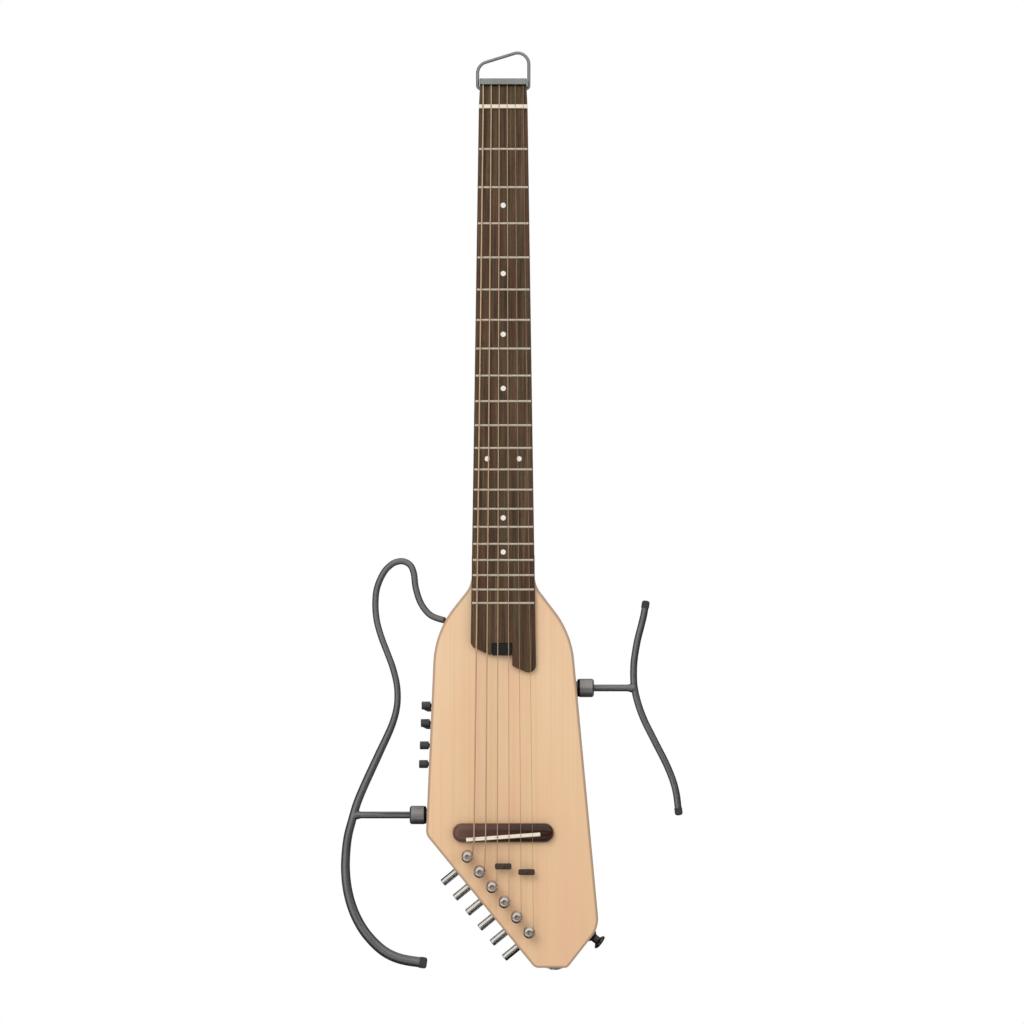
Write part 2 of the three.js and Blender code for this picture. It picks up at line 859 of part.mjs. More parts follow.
function neck() {
  const sections = [];
  const heelStart = neckEnd + heelLength;
  for (let i = 0; i <= neckSections; i += 1) {
    const z = neckHeadLength + ((heelStart - neckHeadLength) * i) / neckSections;
    const share = i / neckSections;
    sections.push(neckSection(z, THREE.MathUtils.lerp(neckDepthAtNut, neckDepthAtHeel, share)));
  }
  for (let i = 1; i <= heelSteps; i += 1) {
    const share = i / heelSteps;
    const z = heelStart + (neckEnd - heelStart) * share;
    sections.push(neckSection(z, THREE.MathUtils.lerp(neckDepthAtHeel, bodyDepth, share ** heelSharpness)));
  }
  const tenon = block(
    [-tenonWidth / 2, tenonWidth / 2],
    [tenonFront, tenonFront + tenonDepth],
    [tenonEnd, neckEnd + cutOverrun],
  );
  const channel = block(
    [-trussWidth / 2 - seatGap, trussWidth / 2 + seatGap],
    [-cutOverrun, trussBack + seatGap],
    [tenonEnd - cutOverrun, nutThickness],
  );
  addPiece("neck", joined(skinned(sections), tenon).subtract(channel).subtract(loopGrooves()), "mahogany");
}

function trussRod() {
  const bar = block([-trussWidth / 2, trussWidth / 2], [trussCover, trussBack], [trussEnd, -seatGap]);
  addPiece("truss_rod", bar, "steel");
  const origin = new THREE.Vector3(0, (trussCover + trussBack) / 2, trussEnd - seatGap);
  const nutSolid = rod(trussNutRadius, -trussNutLength, 0, mediumFacets, origin, alongZ);
  const socketStart = -trussNutLength - cutOverrun;
  const socket = rod(trussNutRadius / 2, socketStart, -trussNutLength / 2, hexFacets, origin, alongZ);
  addPiece("truss_rod_nut", nutSolid.subtract(socket), "steel");
  const right = boardStepX - seatGap;
  const capZ = [trussCapTop - seatGap - trussCapLength, trussCapTop - seatGap];
  const shape = roundedRectangle([right - trussCapWidth, right], capZ, trussCapRound);
  addPiece("truss_rod_cover", slab(shape, -boardThickness, -seatGap), "blackPlastic");
}

// Head plate that takes the strings' ball ends, and the wire loop in the neck's sides

const plateBottom = neckHeadLength + seatGap;
const plateTop = plateBottom + plateThickness;
const ballBottom = plateBottom + ballFloor + seatGap;

function headPlate() {
  const half = plateWidth / 2;
  const footprint = roundedRectangle([-half, half], [-plateOverhang, neckDepthAtNut], plateCornerRadius);
  const geometry = new THREE.ExtrudeGeometry(footprint, {
    depth: plateThickness,
    bevelEnabled: false,
    curveSegments: 1,
  });
  geometry.translate(0, 0, plateBottom);
  let made = solid(geometry);
  stringDiameters.forEach((diameter, i) => {
    const place = new THREE.Vector3(stringShare(i) * nutSpread, -nutStringHeight, 0);
    const hole = rod(diameter / 2 + seatGap, plateBottom - cutOverrun, plateTop, hexFacets, place, alongZ);
    const pocketEnd = plateTop + cutOverrun;
    const pocket = rod(ballRadius + seatGap, plateBottom + ballFloor, pocketEnd, smallFacets, place, alongZ);
    made = made.subtract(hole).subtract(pocket);
  });
  addPiece("head_plate", made, "gunmetal");
}

// Straight runs between [x, z] corners, each corner bent round at its own radius, at one depth.
function bentWire(corners, radii, depth) {
  const points = [new THREE.Vector2(...corners[0])];
  for (let i = 1; i + 1 < corners.length; i += 1) {
    const here = new THREE.Vector2(...corners[i]);
    const before = new THREE.Vector2(...corners[i - 1]).sub(here).normalize();
    const after = new THREE.Vector2(...corners[i + 1]).sub(here).normalize();
    const half = Math.acos(before.dot(after)) / 2;
    const radius = radii[i - 1];
    const start = here.clone().addScaledVector(before, radius / Math.tan(half));
    const bisector = before.clone().add(after).normalize();
    const centre = here.clone().addScaledVector(bisector, radius / Math.sin(half));
    const turn = (before.cross(after) > 0 ? -1 : 1) * (Math.PI - 2 * half);
    for (let step = 0; step <= bendSteps; step += 1) {
      points.push(start.clone().rotateAround(centre, (turn * step) / bendSteps));
    }
  }
  points.push(new THREE.Vector2(...corners.at(-1)));
  return points.map((point) => new THREE.Vector3(point.x, depth, point.y));
}

const loopRightHeight = loopLeftHeight + 2 * loopHalfWidth * loopSlope;
const footBend = loopWire;
const loopFootHeight = neckHeadLength - loopWire / 2 - runningGap;

function hangingLoop() {
  const footX = loopHalfWidth - loopFootLength;
  const corners = [
    [-footX, loopFootHeight],
    [-loopHalfWidth, loopFootHeight],
    [-loopHalfWidth, loopLeftHeight],
    [loopHalfWidth, loopRightHeight],
    [loopHalfWidth, loopFootHeight],
    [footX, loopFootHeight],
  ];
  const route = bentWire(corners, [footBend, loopBendRadius, loopBendRadius, footBend], loopDepth);
  addPiece("hanging_loop", tube(route, route.map(() => loopWire / 2), loopSides), "gunmetal");
}

// Grooves in the neck's end for the loop's feet, which the head plate closes.
function loopGrooves() {
  const room = loopWire / 2 + seatGap;
  const inner = loopHalfWidth - loopFootLength - seatGap;
  const outer = boardHalfWidth(0) + cutOverrun;
  const depth = [loopDepth - room, loopDepth + room];
  const height = [loopFootHeight - room, neckHeadLength + cutOverrun];
  return joined(block([-outer, -inner], depth, height), block([inner, outer], depth, height));
}

// Body: soundboard, core and back, cut for the neck, tuners, electronics, sockets, jack and strap button

const cavityTop = bodyDrop(cavityTopShare);
const cavityHeight = cavityHeightShare * bodyLength;
const cavity = {
  x: [-cavityLeft, cavityRight],
  z: [-cavityTop - cavityHeight, -cavityTop],
};
const cover = {
  x: [-cavityLeft - coverMargin, cavityRight + coverMargin],
  z: [-cavityTop - cavityHeight - coverMargin, -cavityTop + coverMargin],
};

// The strap button stands square on the slanted flank under the lower right corner.
const flankLow = new THREE.Vector3(flankStart[0], frameDepth, flankStart[1]);
const flankHigh = new THREE.Vector3(rightLow[0], frameDepth, rightLow[1]);
const strapSeat = flankLow.clone().lerp(flankHigh, strapSeatShare);
const strapOut = new THREE.Vector3(flankHigh.z - flankLow.z, 0, flankLow.x - flankHigh.x).normalize();

const socketBore = socketNoseRadius + seatGap;
const lapRodDrop = bodyDrop(lapRodShare);
const armRodDrop = bodyDrop(armRodShare);
const lapTopDrop = bodyDrop(lapTopShare);
const armTopDrop = bodyDrop(armTopShare);
const lapHeight = lapHeightShare * bodyLength;
const armHeight = armHeightShare * bodyLength;
const knobDrops = knobDropShares.map(bodyDrop);

function socketPlace(side) {
  const z = side < 0 ? -lapRodDrop : -armRodDrop;
  return new THREE.Vector3(bodySideX(side, z), frameDepth, z);
}

function socketDirection(side) {
  return alongX.clone().multiplyScalar(side);
}

const hornZ = -lapTopDrop - lapRouteShares[0][1] * lapHeight;
const hornPlace = new THREE.Vector3(-lapInnerX - lapRouteShares[0][0] * lapWidth, frameDepth, hornZ);

function tunerRecess(front) {
  const along = [-housingBefore - recessEnd, (stringCount - 1) * postPitch + housingAfter + recessEnd];
  const out = [-recessInboard, postInset + farOverrun];
  return tunerSlab(0, out, along, housingCorner, front, bodyDepth + cutOverrun);
}

function bodyCuts() {
  const cuts = [tunerRecess(ledgeDepth)];
  for (let i = 0; i < stringCount; i += 1) {
    const post = fromPost(i, 0, 0, 0);
    cuts.push(rod(sleeveRadius + seatGap, -cutOverrun, ledgeDepth + cutOverrun, smallFacets, post, alongY));
  }
  cuts.push(
    block(
      [-tenonWidth / 2 - seatGap, tenonWidth / 2 + seatGap],
      [topThickness - cutOverrun, tenonFront + tenonDepth + seatGap],
      [tenonEnd - seatGap, -bodyTopFlat + cutOverrun],
    ),
  );
  const nutRoom = trussNutRadius + 2 * seatGap;
  const nutChannel = [trussCapTop - trussCapLength, tenonEnd + cutOverrun];
  cuts.push(block([-nutRoom, nutRoom], [tenonFront, trussBack + 2 * seatGap], nutChannel));
  cuts.push(block(cavity.x, [cavityFloor, bodyDepth + cutOverrun], cavity.z));
  for (const side of [-1, 1]) {
    const [place, direction] = [socketPlace(side), socketDirection(side)];
    cuts.push(rod(socketBore, -socketLength - seatGap, farOverrun, largeFacets, place, direction));
  }
  const pinRoom = hornPinLength + runningGap;
  cuts.push(rod(hornPinRadius + runningGap, -pinRoom, pinRoom, smallFacets, hornPlace, alongX));
  const jack = jackPlace();
  const jackEnd = jackWall + jackBodyLength + seatGap;
  cuts.push(rod(jackBodyRadius + seatGap, jackWall, jackEnd, mediumFacets, jack, alongZ));
  cuts.push(rod(jackBarrelRadius + seatGap, -cutOverrun, jackWall + cutOverrun, mediumFacets, jack, alongZ));
  const screwRoom = strapScrewRadius + seatGap;
  cuts.push(rod(screwRoom, -strapScrewLength - seatGap, farOverrun, smallFacets, strapSeat, strapOut));
  cuts.push(panelPocket());
  for (const drop of knobDrops) {
    const place = new THREE.Vector3(bodySideX(-1, -drop), frameDepth, -drop);
    const inside = bodyLeft - cavityLeft + cutOverrun;
    cuts.push(rod(knobShaftRadius + runningGap, -farOverrun, inside, smallFacets, place, alongX));
  }
  return cuts;
}

function jackPlace() {
  return new THREE.Vector3(jackX, frameDepth, -bodyStart - bodyLength);
}

function bodyPieces() {
  const cuts = bodyCuts();
  const clear = (made) => cuts.reduce((rest, cut) => rest.subtract(cut), made);
  const coreFront = topThickness + seatGap;
  const coreBack = bodyDepth - backThickness;
  addPiece("body_core", clear(slab(bodyOutline, coreFront, coreBack, 0, outlineArcSteps)), "mahogany");
  const topSlab = slab(bodyOutline, 0, topThickness + edgeRound, edgeRound, outlineArcSteps);
  const [acrossAll, downAll] = [[-bodyLeft * 2, bodyRight * 2], [-bodyStart - bodyLength * 2, 0]];
  const belowTop = block(acrossAll, [topThickness, bodyDepth], downAll);
  const nutWindow = block(
    [boardStepX - trussCapWidth, boardStepX - 2 * seatGap],
    [-cutOverrun, topThickness + cutOverrun],
    [trussCapTop - trussCapLength, trussCapTop - 2 * seatGap],
  );
  addPiece("soundboard", clear(topSlab.subtract(belowTop)).subtract(nutWindow), "spruce");
  const backSlab = slab(bodyOutline, coreBack + seatGap - edgeRound, bodyDepth, edgeRound, outlineArcSteps);
  const aboveBack = block(acrossAll, [0, coreBack + seatGap], downAll);
  const windowShape = roundedRectangle(cover.x, cover.z, coverCorner);
  const window = slab(windowShape, coreBack - cutOverrun, bodyDepth + cutOverrun);
  addPiece("back", clear(backSlab.subtract(aboveBack)).subtract(window), "mahogany");
}

// Electronics: cover, battery and its door, side panel, circuit card with pots, and the control knobs

const coverFront = bodyDepth - coverThickness + seatGap;
const batteryX = [batteryRight - batteryWidth, batteryRight];
const batteryTop = -cavityTop - (cavityHeight - batteryHeight) / 2;
const batteryZ = [batteryTop - batteryHeight, batteryTop];
const doorX = [batteryX[0] - doorMargin, batteryX[1] + doorMargin];
const doorZ = [batteryZ[0] - doorMargin, batteryZ[1] + doorMargin];
const hingePlace = new THREE.Vector3(0, coverFront + (bodyDepth - coverFront) / 2, doorZ[1] - hingeRadius);

function backCover() {
  const inset = (range) => [range[0] + seatGap, range[1] - seatGap];
  const outline = roundedRectangle(inset(cover.x), inset(cover.z), coverCorner - seatGap);
  let made = slab(outline, coverFront, bodyDepth);
  const screwX = [cover.x[0] + coverScrewInset, (cover.x[0] + doorX[0]) / 2, cover.x[1] - coverScrewInset];
  for (const x of screwX) {
    for (const z of [cover.z[0] + coverScrewInset, cover.z[1] - coverScrewInset]) {
      const place = new THREE.Vector3(x, 0, z);
      const floor = bodyDepth - screwHeadHeight;
      made = made.subtract(rod(screwHeadRadius, floor, bodyDepth + cutOverrun, smallFacets, place, alongY));
    }
  }
  const doorway = block(
    [doorX[0] - runningGap, doorX[1] + runningGap],
    [coverFront - cutOverrun, bodyDepth + cutOverrun],
    [doorZ[0] - runningGap, doorZ[1] + runningGap],
  );
  const pinRoom = hingePinLength + 2 * runningGap;
  const pinHole = hingePinRadius + seatGap;
  const pinHoles = rod(pinHole, doorX[0] - pinRoom, doorX[1] + pinRoom, smallFacets, hingePlace, alongX);
  addPiece("back_cover", made.subtract(doorway).subtract(pinHoles), "blackPlastic");
}

function batteryDoor() {
  const panelTop = doorZ[1] - hingeRadius;
  const plate = block(doorX, [coverFront, bodyDepth], [doorZ[0], panelTop]);
  const barrel = rod(hingeRadius, doorX[0], doorX[1], mediumFacets, hingePlace, alongX);
  const pinX = [doorX[0] - hingePinLength, doorX[1] + hingePinLength];
  const pin = rod(hingePinRadius, pinX[0], pinX[1], smallFacets, hingePlace, alongX);
  const middle = (doorX[0] + doorX[1]) / 2;
  const grip = block(
    [middle - latchWidth / 2, middle + latchWidth / 2],
    [bodyDepth - doorLip, bodyDepth + cutOverrun],
    [doorZ[0] + latchInset, doorZ[0] + latchInset + latchLength],
  );
  addPiece("battery_door", joined(plate, barrel, pin).subtract(grip), "blackPlastic");
}

function battery() {
  const back = coverFront - seatGap;
  const cell = block(batteryX, [back - batteryThickness, back], batteryZ);
  const terminals = [-1, 1].map((side) => {
    const place = new THREE.Vector3(
      (batteryX[0] + batteryX[1]) / 2 + (side * batteryWidth) / 4,
      back - batteryThickness / 2,
      0,
    );
    const [from, to] = [batteryZ[1] - seatGap, batteryZ[1] + terminalHeight];
    return rod(terminalRadius, from, to, smallFacets, place, alongZ);
  });
  addPiece("battery", joined(cell, ...terminals), "steel");
}

const panelZ = [-Math.max(...knobDrops) - panelMargin, -Math.min(...knobDrops) + panelMargin];

// The side panel's plate follows the body's slightly leaning left edge.
function panelShape(margin, outside, inside) {
  const place = (z, shift) => [bodySideX(-1, z) + shift, z, 0];
  const [low, high] = [panelZ[0] - margin, panelZ[1] + margin];
  return roundedShape([place(low, -outside), place(low, inside), place(high, inside), place(high, -outside)]);
}

function panelPocket() {
  const half = panelWidth / 2 + seatGap;
  return slab(panelShape(seatGap, cutOverrun, panelThickness), frameDepth - half, frameDepth + half);
}

function controlPanel() {
  const half = panelWidth / 2;
  let made = slab(panelShape(0, 0, panelThickness - seatGap), frameDepth - half, frameDepth + half);
  for (const drop of knobDrops) {
    const place = new THREE.Vector3(bodySideX(-1, -drop), frameDepth, -drop);
    const hole = knobShaftRadius + runningGap;
    made = made.subtract(rod(hole, -cutOverrun, panelThickness + cutOverrun, smallFacets, place, alongX));
  }
  addPiece("control_panel", made, "blackPlastic");
}

function circuitCard() {
  const cardX = -cavityLeft + potDepthInside + potLength;
  const half = potRadius + cardEdge;
  let made = block(
    [cardX, cardX + boardCardThickness],
    [frameDepth - half, frameDepth + half],
    [cavity.z[0] + cardMargin, cavity.z[1] - cardMargin],
  );
  for (const drop of knobDrops) {
    const place = new THREE.Vector3(cardX, frameDepth, -drop);
    const pot = rod(potRadius, -potLength, seatGap, smallFacets, place, alongX);
    const boreStart = -potLength - cutOverrun;
    const bore = rod(knobShaftRadius + runningGap, boreStart, -potLength / 2, smallFacets, place, alongX);
    made = made.add(pot).subtract(bore);
  }
  addPiece("circuit_card", made, "circuitGreen");
}

function controlKnob(i) {
  const z = -knobDrops[i];
  const side = bodySideX(-1, z);
  const place = new THREE.Vector3(side, frameDepth, z);
  const outer = -knobLength - knobStandOff;
  const cap = turned(
    [
      [0, outer],
      [knobRadius - knobRound, outer],
      [knobRadius, outer + knobRound],
      [knobRadius, -knobStandOff],
      [0, -knobStandOff],
    ],
    mediumFacets,
    place,
    alongX,
  );
  const shaftEnd = -cavityLeft + potDepthInside + potLength / 2 - side - seatGap;
  let made = joined(cap, rod(knobShaftRadius, outer / 2, shaftEnd, smallFacets, place, alongX));
  if (i < pointerKnobCount) {
    const inner = side - knobStandOff;
    const pointer = new THREE.Shape();
    pointer.moveTo(inner, z);
    pointer.lineTo(inner, z - pointerReach);
    pointer.lineTo(inner - knobLength * pointerShoulderShare, z - pointerReach);
    pointer.lineTo(side + outer + knobRound, z - knobRadius + knobRound);
    pointer.lineTo(side + outer + knobRound, z);
    pointer.closePath();
    made = made.add(slab(pointer, frameDepth - pointerWidth / 2, frameDepth + pointerWidth / 2));
  }
  addPiece(`control_knob_${i + 1}`, made, "blackPlastic");
}

// Bridge, saddle with its pickup, and string guides

function saddleBlock(halfLength, halfThickness, front, back) {
  const geometry = new THREE.BoxGeometry(halfLength * 2, back - front, halfThickness * 2);
  geometry.rotateY(-saddleAngle);
  geometry.translate(0, (front + back) / 2, saddleZ);
  return solid(geometry);
}

function bridgePieces() {
  const half = bridgeWidth / 2;
  const middle = -scaleLength - bridgeSetBack;
  const [bridgeX, bridgeZ] = [[-bridgeLength / 2, bridgeLength / 2], [middle - half, middle + half]];
  const shape = roundedRectangle(bridgeX, bridgeZ, bridgeEndRound);
  const body = slab(shape, -bridgeHeight, -seatGap + bridgeRound, bridgeRound, outlineArcSteps);
  const underZ = [middle - bridgeWidth, middle + bridgeWidth];
  const under = block([-bridgeLength, bridgeLength], [-seatGap, bridgeHeight], underZ);
  const slotBack = -bridgeHeight + saddleSlotDepth;
  const slot = saddleBlock(
    saddleLength / 2 + seatGap,
    saddleThickness / 2 + seatGap,
    -bridgeHeight - cutOverrun,
    slotBack,
  );
  addPiece("bridge", body.subtract(under).subtract(slot), "rosewood");
  const pickupFront = slotBack - seatGap - pickupThickness;
  addPiece(
    "saddle_pickup",
    saddleBlock(saddleLength / 2, saddleThickness / 2, pickupFront, slotBack - seatGap),
    "brass",
  );
  const crown = -saddleStringHeight + Math.max(...stringDiameters) / 2 + seatGap;
  addPiece(
    "saddle",
    saddleBlock(saddleLength / 2, saddleThickness / 2, crown, pickupFront - seatGap),
    "bone",
  );
}

const guidePairs = [[2, 3], [4, 5]];

function guidePlace(pair) {
  const [a, b] = guidePairs[pair];
  const x = ((stringShare(a) + stringShare(b)) / 2) * saddleSpread;
  return new THREE.Vector3(x, 0, saddleZ - guideDrops[pair]);
}

function stringGuide(pair) {
  const place = guidePlace(pair);
  const bar = slab(
    roundedRectangle(
      [place.x - guideLength / 2, place.x + guideLength / 2],
      [place.z - guideWidth / 2, place.z + guideWidth / 2],
      guideCorner,
    ),
    -guideClearance - guideThickness,
    -guideClearance,
  );
  const leg = rod(guideLegRadius, -guideClearance - guideThickness / 2, -seatGap, smallFacets, place, alongY);
  const head = rod(
    guideLegRadius,
    -guideClearance - guideThickness - guideHeadProud,
    -guideClearance,
    smallFacets,
    place,
    alongY,
  );
  addPiece(`string_guide_${pair + 1}`, joined(bar, leg, head), "gunmetal");
}

// Strings: from the head plate over nut and saddle, under a guide, and wound round the tuner's post

function stringRoute(i) {
  const diameter = stringDiameters[i];
  const share = stringShare(i);
  const nutX = share * nutSpread;
  const saddleX = share * saddleSpread;
  const post = fromPost(i, 0, 0, 0);
  const winding = postWaistRadius + seatGap + diameter / 2;
  const route = [
    new THREE.Vector3(nutX, -nutStringHeight, ballBottom + seatGap),
    new THREE.Vector3(nutX, -nutStringHeight, nutThickness),
    new THREE.Vector3(nutX, -nutStringHeight, 0),
    new THREE.Vector3(saddleX, -saddleStringHeight, saddleZAt(saddleX) + saddleThickness / 2),
    new THREE.Vector3(saddleX, -saddleStringHeight, saddleZAt(saddleX) - saddleThickness / 2),
  ];
  const pair = guidePairs.findIndex((names) => names.includes(i));
  if (pair >= 0) {
    const under = -guideClearance + seatGap + diameter / 2;
    const x = THREE.MathUtils.lerp(saddleX, post.x + winding, guideCrossingShare);
    const middle = new THREE.Vector3(x, under, guidePlace(pair).z);
    route.push(middle.clone().addScaledVector(alongZ, guideWidth / 2));
    route.push(middle.clone().addScaledVector(alongZ, -guideWidth / 2));
  }
  const start = -stringEntryHeight;
  const pitch = diameter + windingGap;
  const steps = Math.round(stringTurns[i] * windingSteps);
  for (let step = 0; step <= steps; step += 1) {
    const turn = (2 * Math.PI * step) / windingSteps;
    route.push(
      new THREE.Vector3(
        post.x + winding * Math.cos(turn),
        start + (pitch * turn) / (2 * Math.PI),
        post.z - winding * Math.sin(turn),
      ),
    );
  }
  return route;
}

// The least distance between turns of a winding, less the string's thickness.
function leastGap(route, diameter) {
  const turns = route.slice(-windingSteps * 2);
  let least = Infinity;
  for (let a = 0; a < turns.length; a += 1) {
    for (let b = a + Math.round(windingSteps / 2); b < turns.length; b += 1) {
      least = Math.min(least, turns[a].distanceTo(turns[b]) - diameter);
    }
  }
  return least;
}

function guitarString(i) {
  const route = stringRoute(i);
  const diameter = stringDiameters[i];
  const radii = route.map(() => diameter / 2);
  const ballPlace = route[0].clone().setZ(0);
  const ball = rod(ballRadius, ballBottom, ballBottom + ballLength, smallFacets, ballPlace, alongZ);
  console.log(`string ${i + 1}: least gap between its turns ${leastGap(route, diameter).toFixed(2)} mm`);
  const finish = i < woundStrings ? "bronze" : "steel";
  addPiece(`string_${i + 1}`, joined(tube(route, radii, stringSides), ball), finish);
}

// Frames: bent tubes with a rod to a screwed collar, in sockets in the body's sides

// Points along a frame's tube, from its table of shares outward and downward.
function framePoints(side, table, width, height, innerX, topDrop) {
  return table.map(([outward, down]) => {
    const x = side * (innerX + outward * width);
    return new THREE.Vector3(x, frameDepth, -topDrop - down * height);
  });
}

function smoothRoute(points, steps) {
  return new THREE.CatmullRomCurve3(points, false, "centripetal").getSpacedPoints(steps);
}

function xWhereRouteCrosses(route, z) {
  for (let i = 1; i < route.length; i += 1) {
    const [a, b] = [route[i - 1], route[i]];
    if ((a.z - z) * (b.z - z) <= 0) return a.x + ((b.x - a.x) * (z - a.z)) / (b.z - a.z);
  }
  throw new Error("the frame's tube never reaches its rod");
}

// A stretch along X between two distances outward from the body's side at a socket.
function outwardRange(side, from, to) {
  const start = socketPlace(side).x;
  return [start + side * from, start + side * to].sort((a, b) => a - b);
}

// The rod, flange and keyed spigot from a frame's tube into its socket.
function rodWithSpigot(side, tubeX) {
  const place = socketPlace(side);
  const direction = socketDirection(side);
  const flangeStart = socketNoseLength + seatGap;
  const reach = Math.abs(tubeX - place.x);
  const spigotStart = flangeStart - spigotLength;
  const key = block(
    outwardRange(side, spigotStart, spigotStart + keyLength),
    [frameDepth - keyWidth / 2, frameDepth + keyWidth / 2],
    [place.z, place.z + spigotRadius + keyProud],
  );
  return joined(
    rod(spigotRadius, spigotStart, flangeStart + seatGap, mediumFacets, place, direction),
    rod(flangeRadius, flangeStart, flangeStart + flangeThickness, mediumFacets, place, direction),
    rod(rodRadius, flangeStart, reach, mediumFacets, place, direction),
    key,
  );
}

function frameSocket(name, side) {
  const place = socketPlace(side);
  const direction = socketDirection(side);
  const outer = rod(socketNoseRadius, -socketLength, socketNoseLength, largeFacets, place, direction);
  const boreStart = -socketLength + flangeThickness;
  const boreEnd = socketNoseLength + cutOverrun;
  const bore = rod(spigotRadius + runningGap, boreStart, boreEnd, mediumFacets, place, direction);
  const keyway = block(
    outwardRange(side, boreStart, boreEnd),
    [frameDepth - keyWidth / 2 - runningGap, frameDepth + keyWidth / 2 + runningGap],
    [place.z, place.z + spigotRadius + keyProud + runningGap],
  );
  addPiece(name, outer.subtract(bore).subtract(keyway), "gunmetal");
}

function frameCollar(name, side) {
  const place = socketPlace(side);
  const direction = socketDirection(side);
  const start = collarStandOff;
  const end = start + collarLength;
  const wide = socketNoseRadius + runningGap;
  const narrow = rodRadius + runningGap;
  const shoulder = end - collarShoulder;
  const made = turned(
    [
      [wide, start],
      [collarRadius - collarChamfer / 2, start],
      [collarRadius, start + collarChamfer / 2],
      [collarRadius, end - collarChamfer],
      [collarRadius - collarChamfer, end],
      [narrow, end],
      [narrow, shoulder],
      [wide, shoulder],
      [wide, start],
    ],
    largeFacets,
    place,
    direction,
  );
  addPiece(name, made, "gunmetal");
}

// A rubber cup over the last stretch of a tube.
function endCap(name, route, radius) {
  const tip = route.at(-1);
  const before = route.at(-2);
  const direction = tip.clone().sub(before).normalize();
  const outer = radius + seatGap + capWall;
  const inner = radius + seatGap;
  const made = turned(
    [
      [0, seatGap],
      [inner, seatGap],
      [inner, seatGap - capInside],
      [outer, seatGap - capInside],
      [outer, capLength - capInside - capWall],
      [outer - capWall, capLength - capInside],
      [0, capLength - capInside],
    ],
    mediumFacets,
    tip,
    direction,
  );
  addPiece(name, made, "rubber");
}

// The straight run that the last points of a route need, so that a cap slides over it.
function withStraightEnd(route, length) {
  const tip = route.at(-1);
  const direction = tip.clone().sub(route.at(-2)).normalize();
  return route.concat([tip.clone().addScaledVector(direction, length)]);
}

// A block over the body's left shoulder, standing proud of it by a gap.
function shoulderBlock(gap) {
  const from = new THREE.Vector2(...bodyCornerList[0]);
  const to = new THREE.Vector2(...bodyCornerList[1]);
  const along = to.clone().sub(from);
  const inward = new THREE.Vector2(-along.y, along.x).normalize();
  const corner = (point, depth) => [point.x + inward.x * depth, point.y + inward.y * depth, 0];
  const past = to.clone().addScaledVector(along, pastShoulderShare);
  return slab(
    roundedShape([corner(from, -gap), corner(past, -gap), corner(past, bodyDepth), corner(from, bodyDepth)]),
    -bodyDepth,
    bodyDepth * 2,
  );
}

// The lap frame's tube swells towards its foot.
function lapTubeRadius(share) {
  const [start, middle, end] = lapTaperShares;
  const upper = THREE.MathUtils.smoothstep(share, start, middle);
  const lower = THREE.MathUtils.smoothstep(share, middle, end);
  return lapTubeTop + (lapTubeMiddle - lapTubeTop) * upper + (lapTubeEnd - lapTubeMiddle) * lower;
}

function lapFrame() {
  const points = framePoints(-1, lapRouteShares, lapWidth, lapHeight, lapInnerX, lapTopDrop);
  const route = withStraightEnd(smoothRoute(points, lapTubeSteps), capInside);
  const radii = route.map((_, i) => lapTubeRadius(i / (route.length - 1)));
  const tubeX = xWhereRouteCrosses(route, -lapRodDrop);
  const pin = rod(hornPinRadius, -hornPinRadius, hornPinLength, smallFacets, hornPlace, alongX);
  const bent = tube(route, radii, tubeSides).subtract(shoulderBlock(runningGap));
  addPiece("lap_frame", joined(bent, pin, rodWithSpigot(-1, tubeX)), "gunmetal");
  endCap("lap_frame_cap", route, lapTubeEnd);
}

function armFrame() {
  const points = framePoints(1, armRouteShares, armWidth, armHeight, armInnerX, armTopDrop);
  const route = smoothRoute(points, armTubeSteps);
  const whole = withStraightEnd(withStraightEnd(route, capInside).reverse(), capInside).reverse();
  const tubeX = xWhereRouteCrosses(route, -armRodDrop);
  const bent = tube(whole, whole.map(() => armTubeRadius), tubeSides);
  addPiece("arm_frame", joined(bent, rodWithSpigot(1, tubeX)), "gunmetal");
  endCap("arm_frame_lower_cap", whole, armTubeRadius);
  endCap("arm_frame_upper_cap", whole.slice().reverse(), armTubeRadius);
}

// Output jack in the bottom edge, and strap button on the lower right corner

function outputJack() {
  const place = jackPlace();
  const barrel = rod(jackBarrelRadius, -jackProud, jackWall + seatGap * 2, mediumFacets, place, alongZ);
  const nutPiece = rod(jackNutRadius, -seatGap - jackNutHeight, -seatGap, hexFacets, place, alongZ);
  const shellEnd = jackWall + jackBodyLength;
  const shell = rod(jackBodyRadius, jackWall + seatGap, shellEnd, mediumFacets, place, alongZ);
  const bore = rod(jackBore, -jackProud - cutOverrun, shellEnd - cutOverrun, mediumFacets, place, alongZ);
  addPiece("output_jack", joined(barrel, nutPiece, shell).subtract(bore), "nickel");
}

function strapButton() {
  const base = seatGap;
  const button = turned(
    [
      [0, -strapScrewLength],
      [strapScrewRadius, -strapScrewLength + strapScrewRadius],
      [strapScrewRadius, base],
      [strapFootRadius, base],
      [strapFootRadius, base + strapFlangeThickness / 2],
      [strapNeckRadius, base + strapFlangeThickness],
      [strapNeckRadius, base + strapHeight - strapFlangeThickness - strapFlangeRound],
      [strapFlangeRadius, base + strapHeight - strapFlangeThickness],
      [strapFlangeRadius, base + strapHeight - strapFlangeRound],
      [strapFlangeRadius - strapFlangeRound, base + strapHeight],
      [0, base + strapHeight],
    ],
    largeFacets,
    strapSeat,
    strapOut,
  );
  addPiece("strap_button", button, "blackPlastic");
}

// The whole guitar

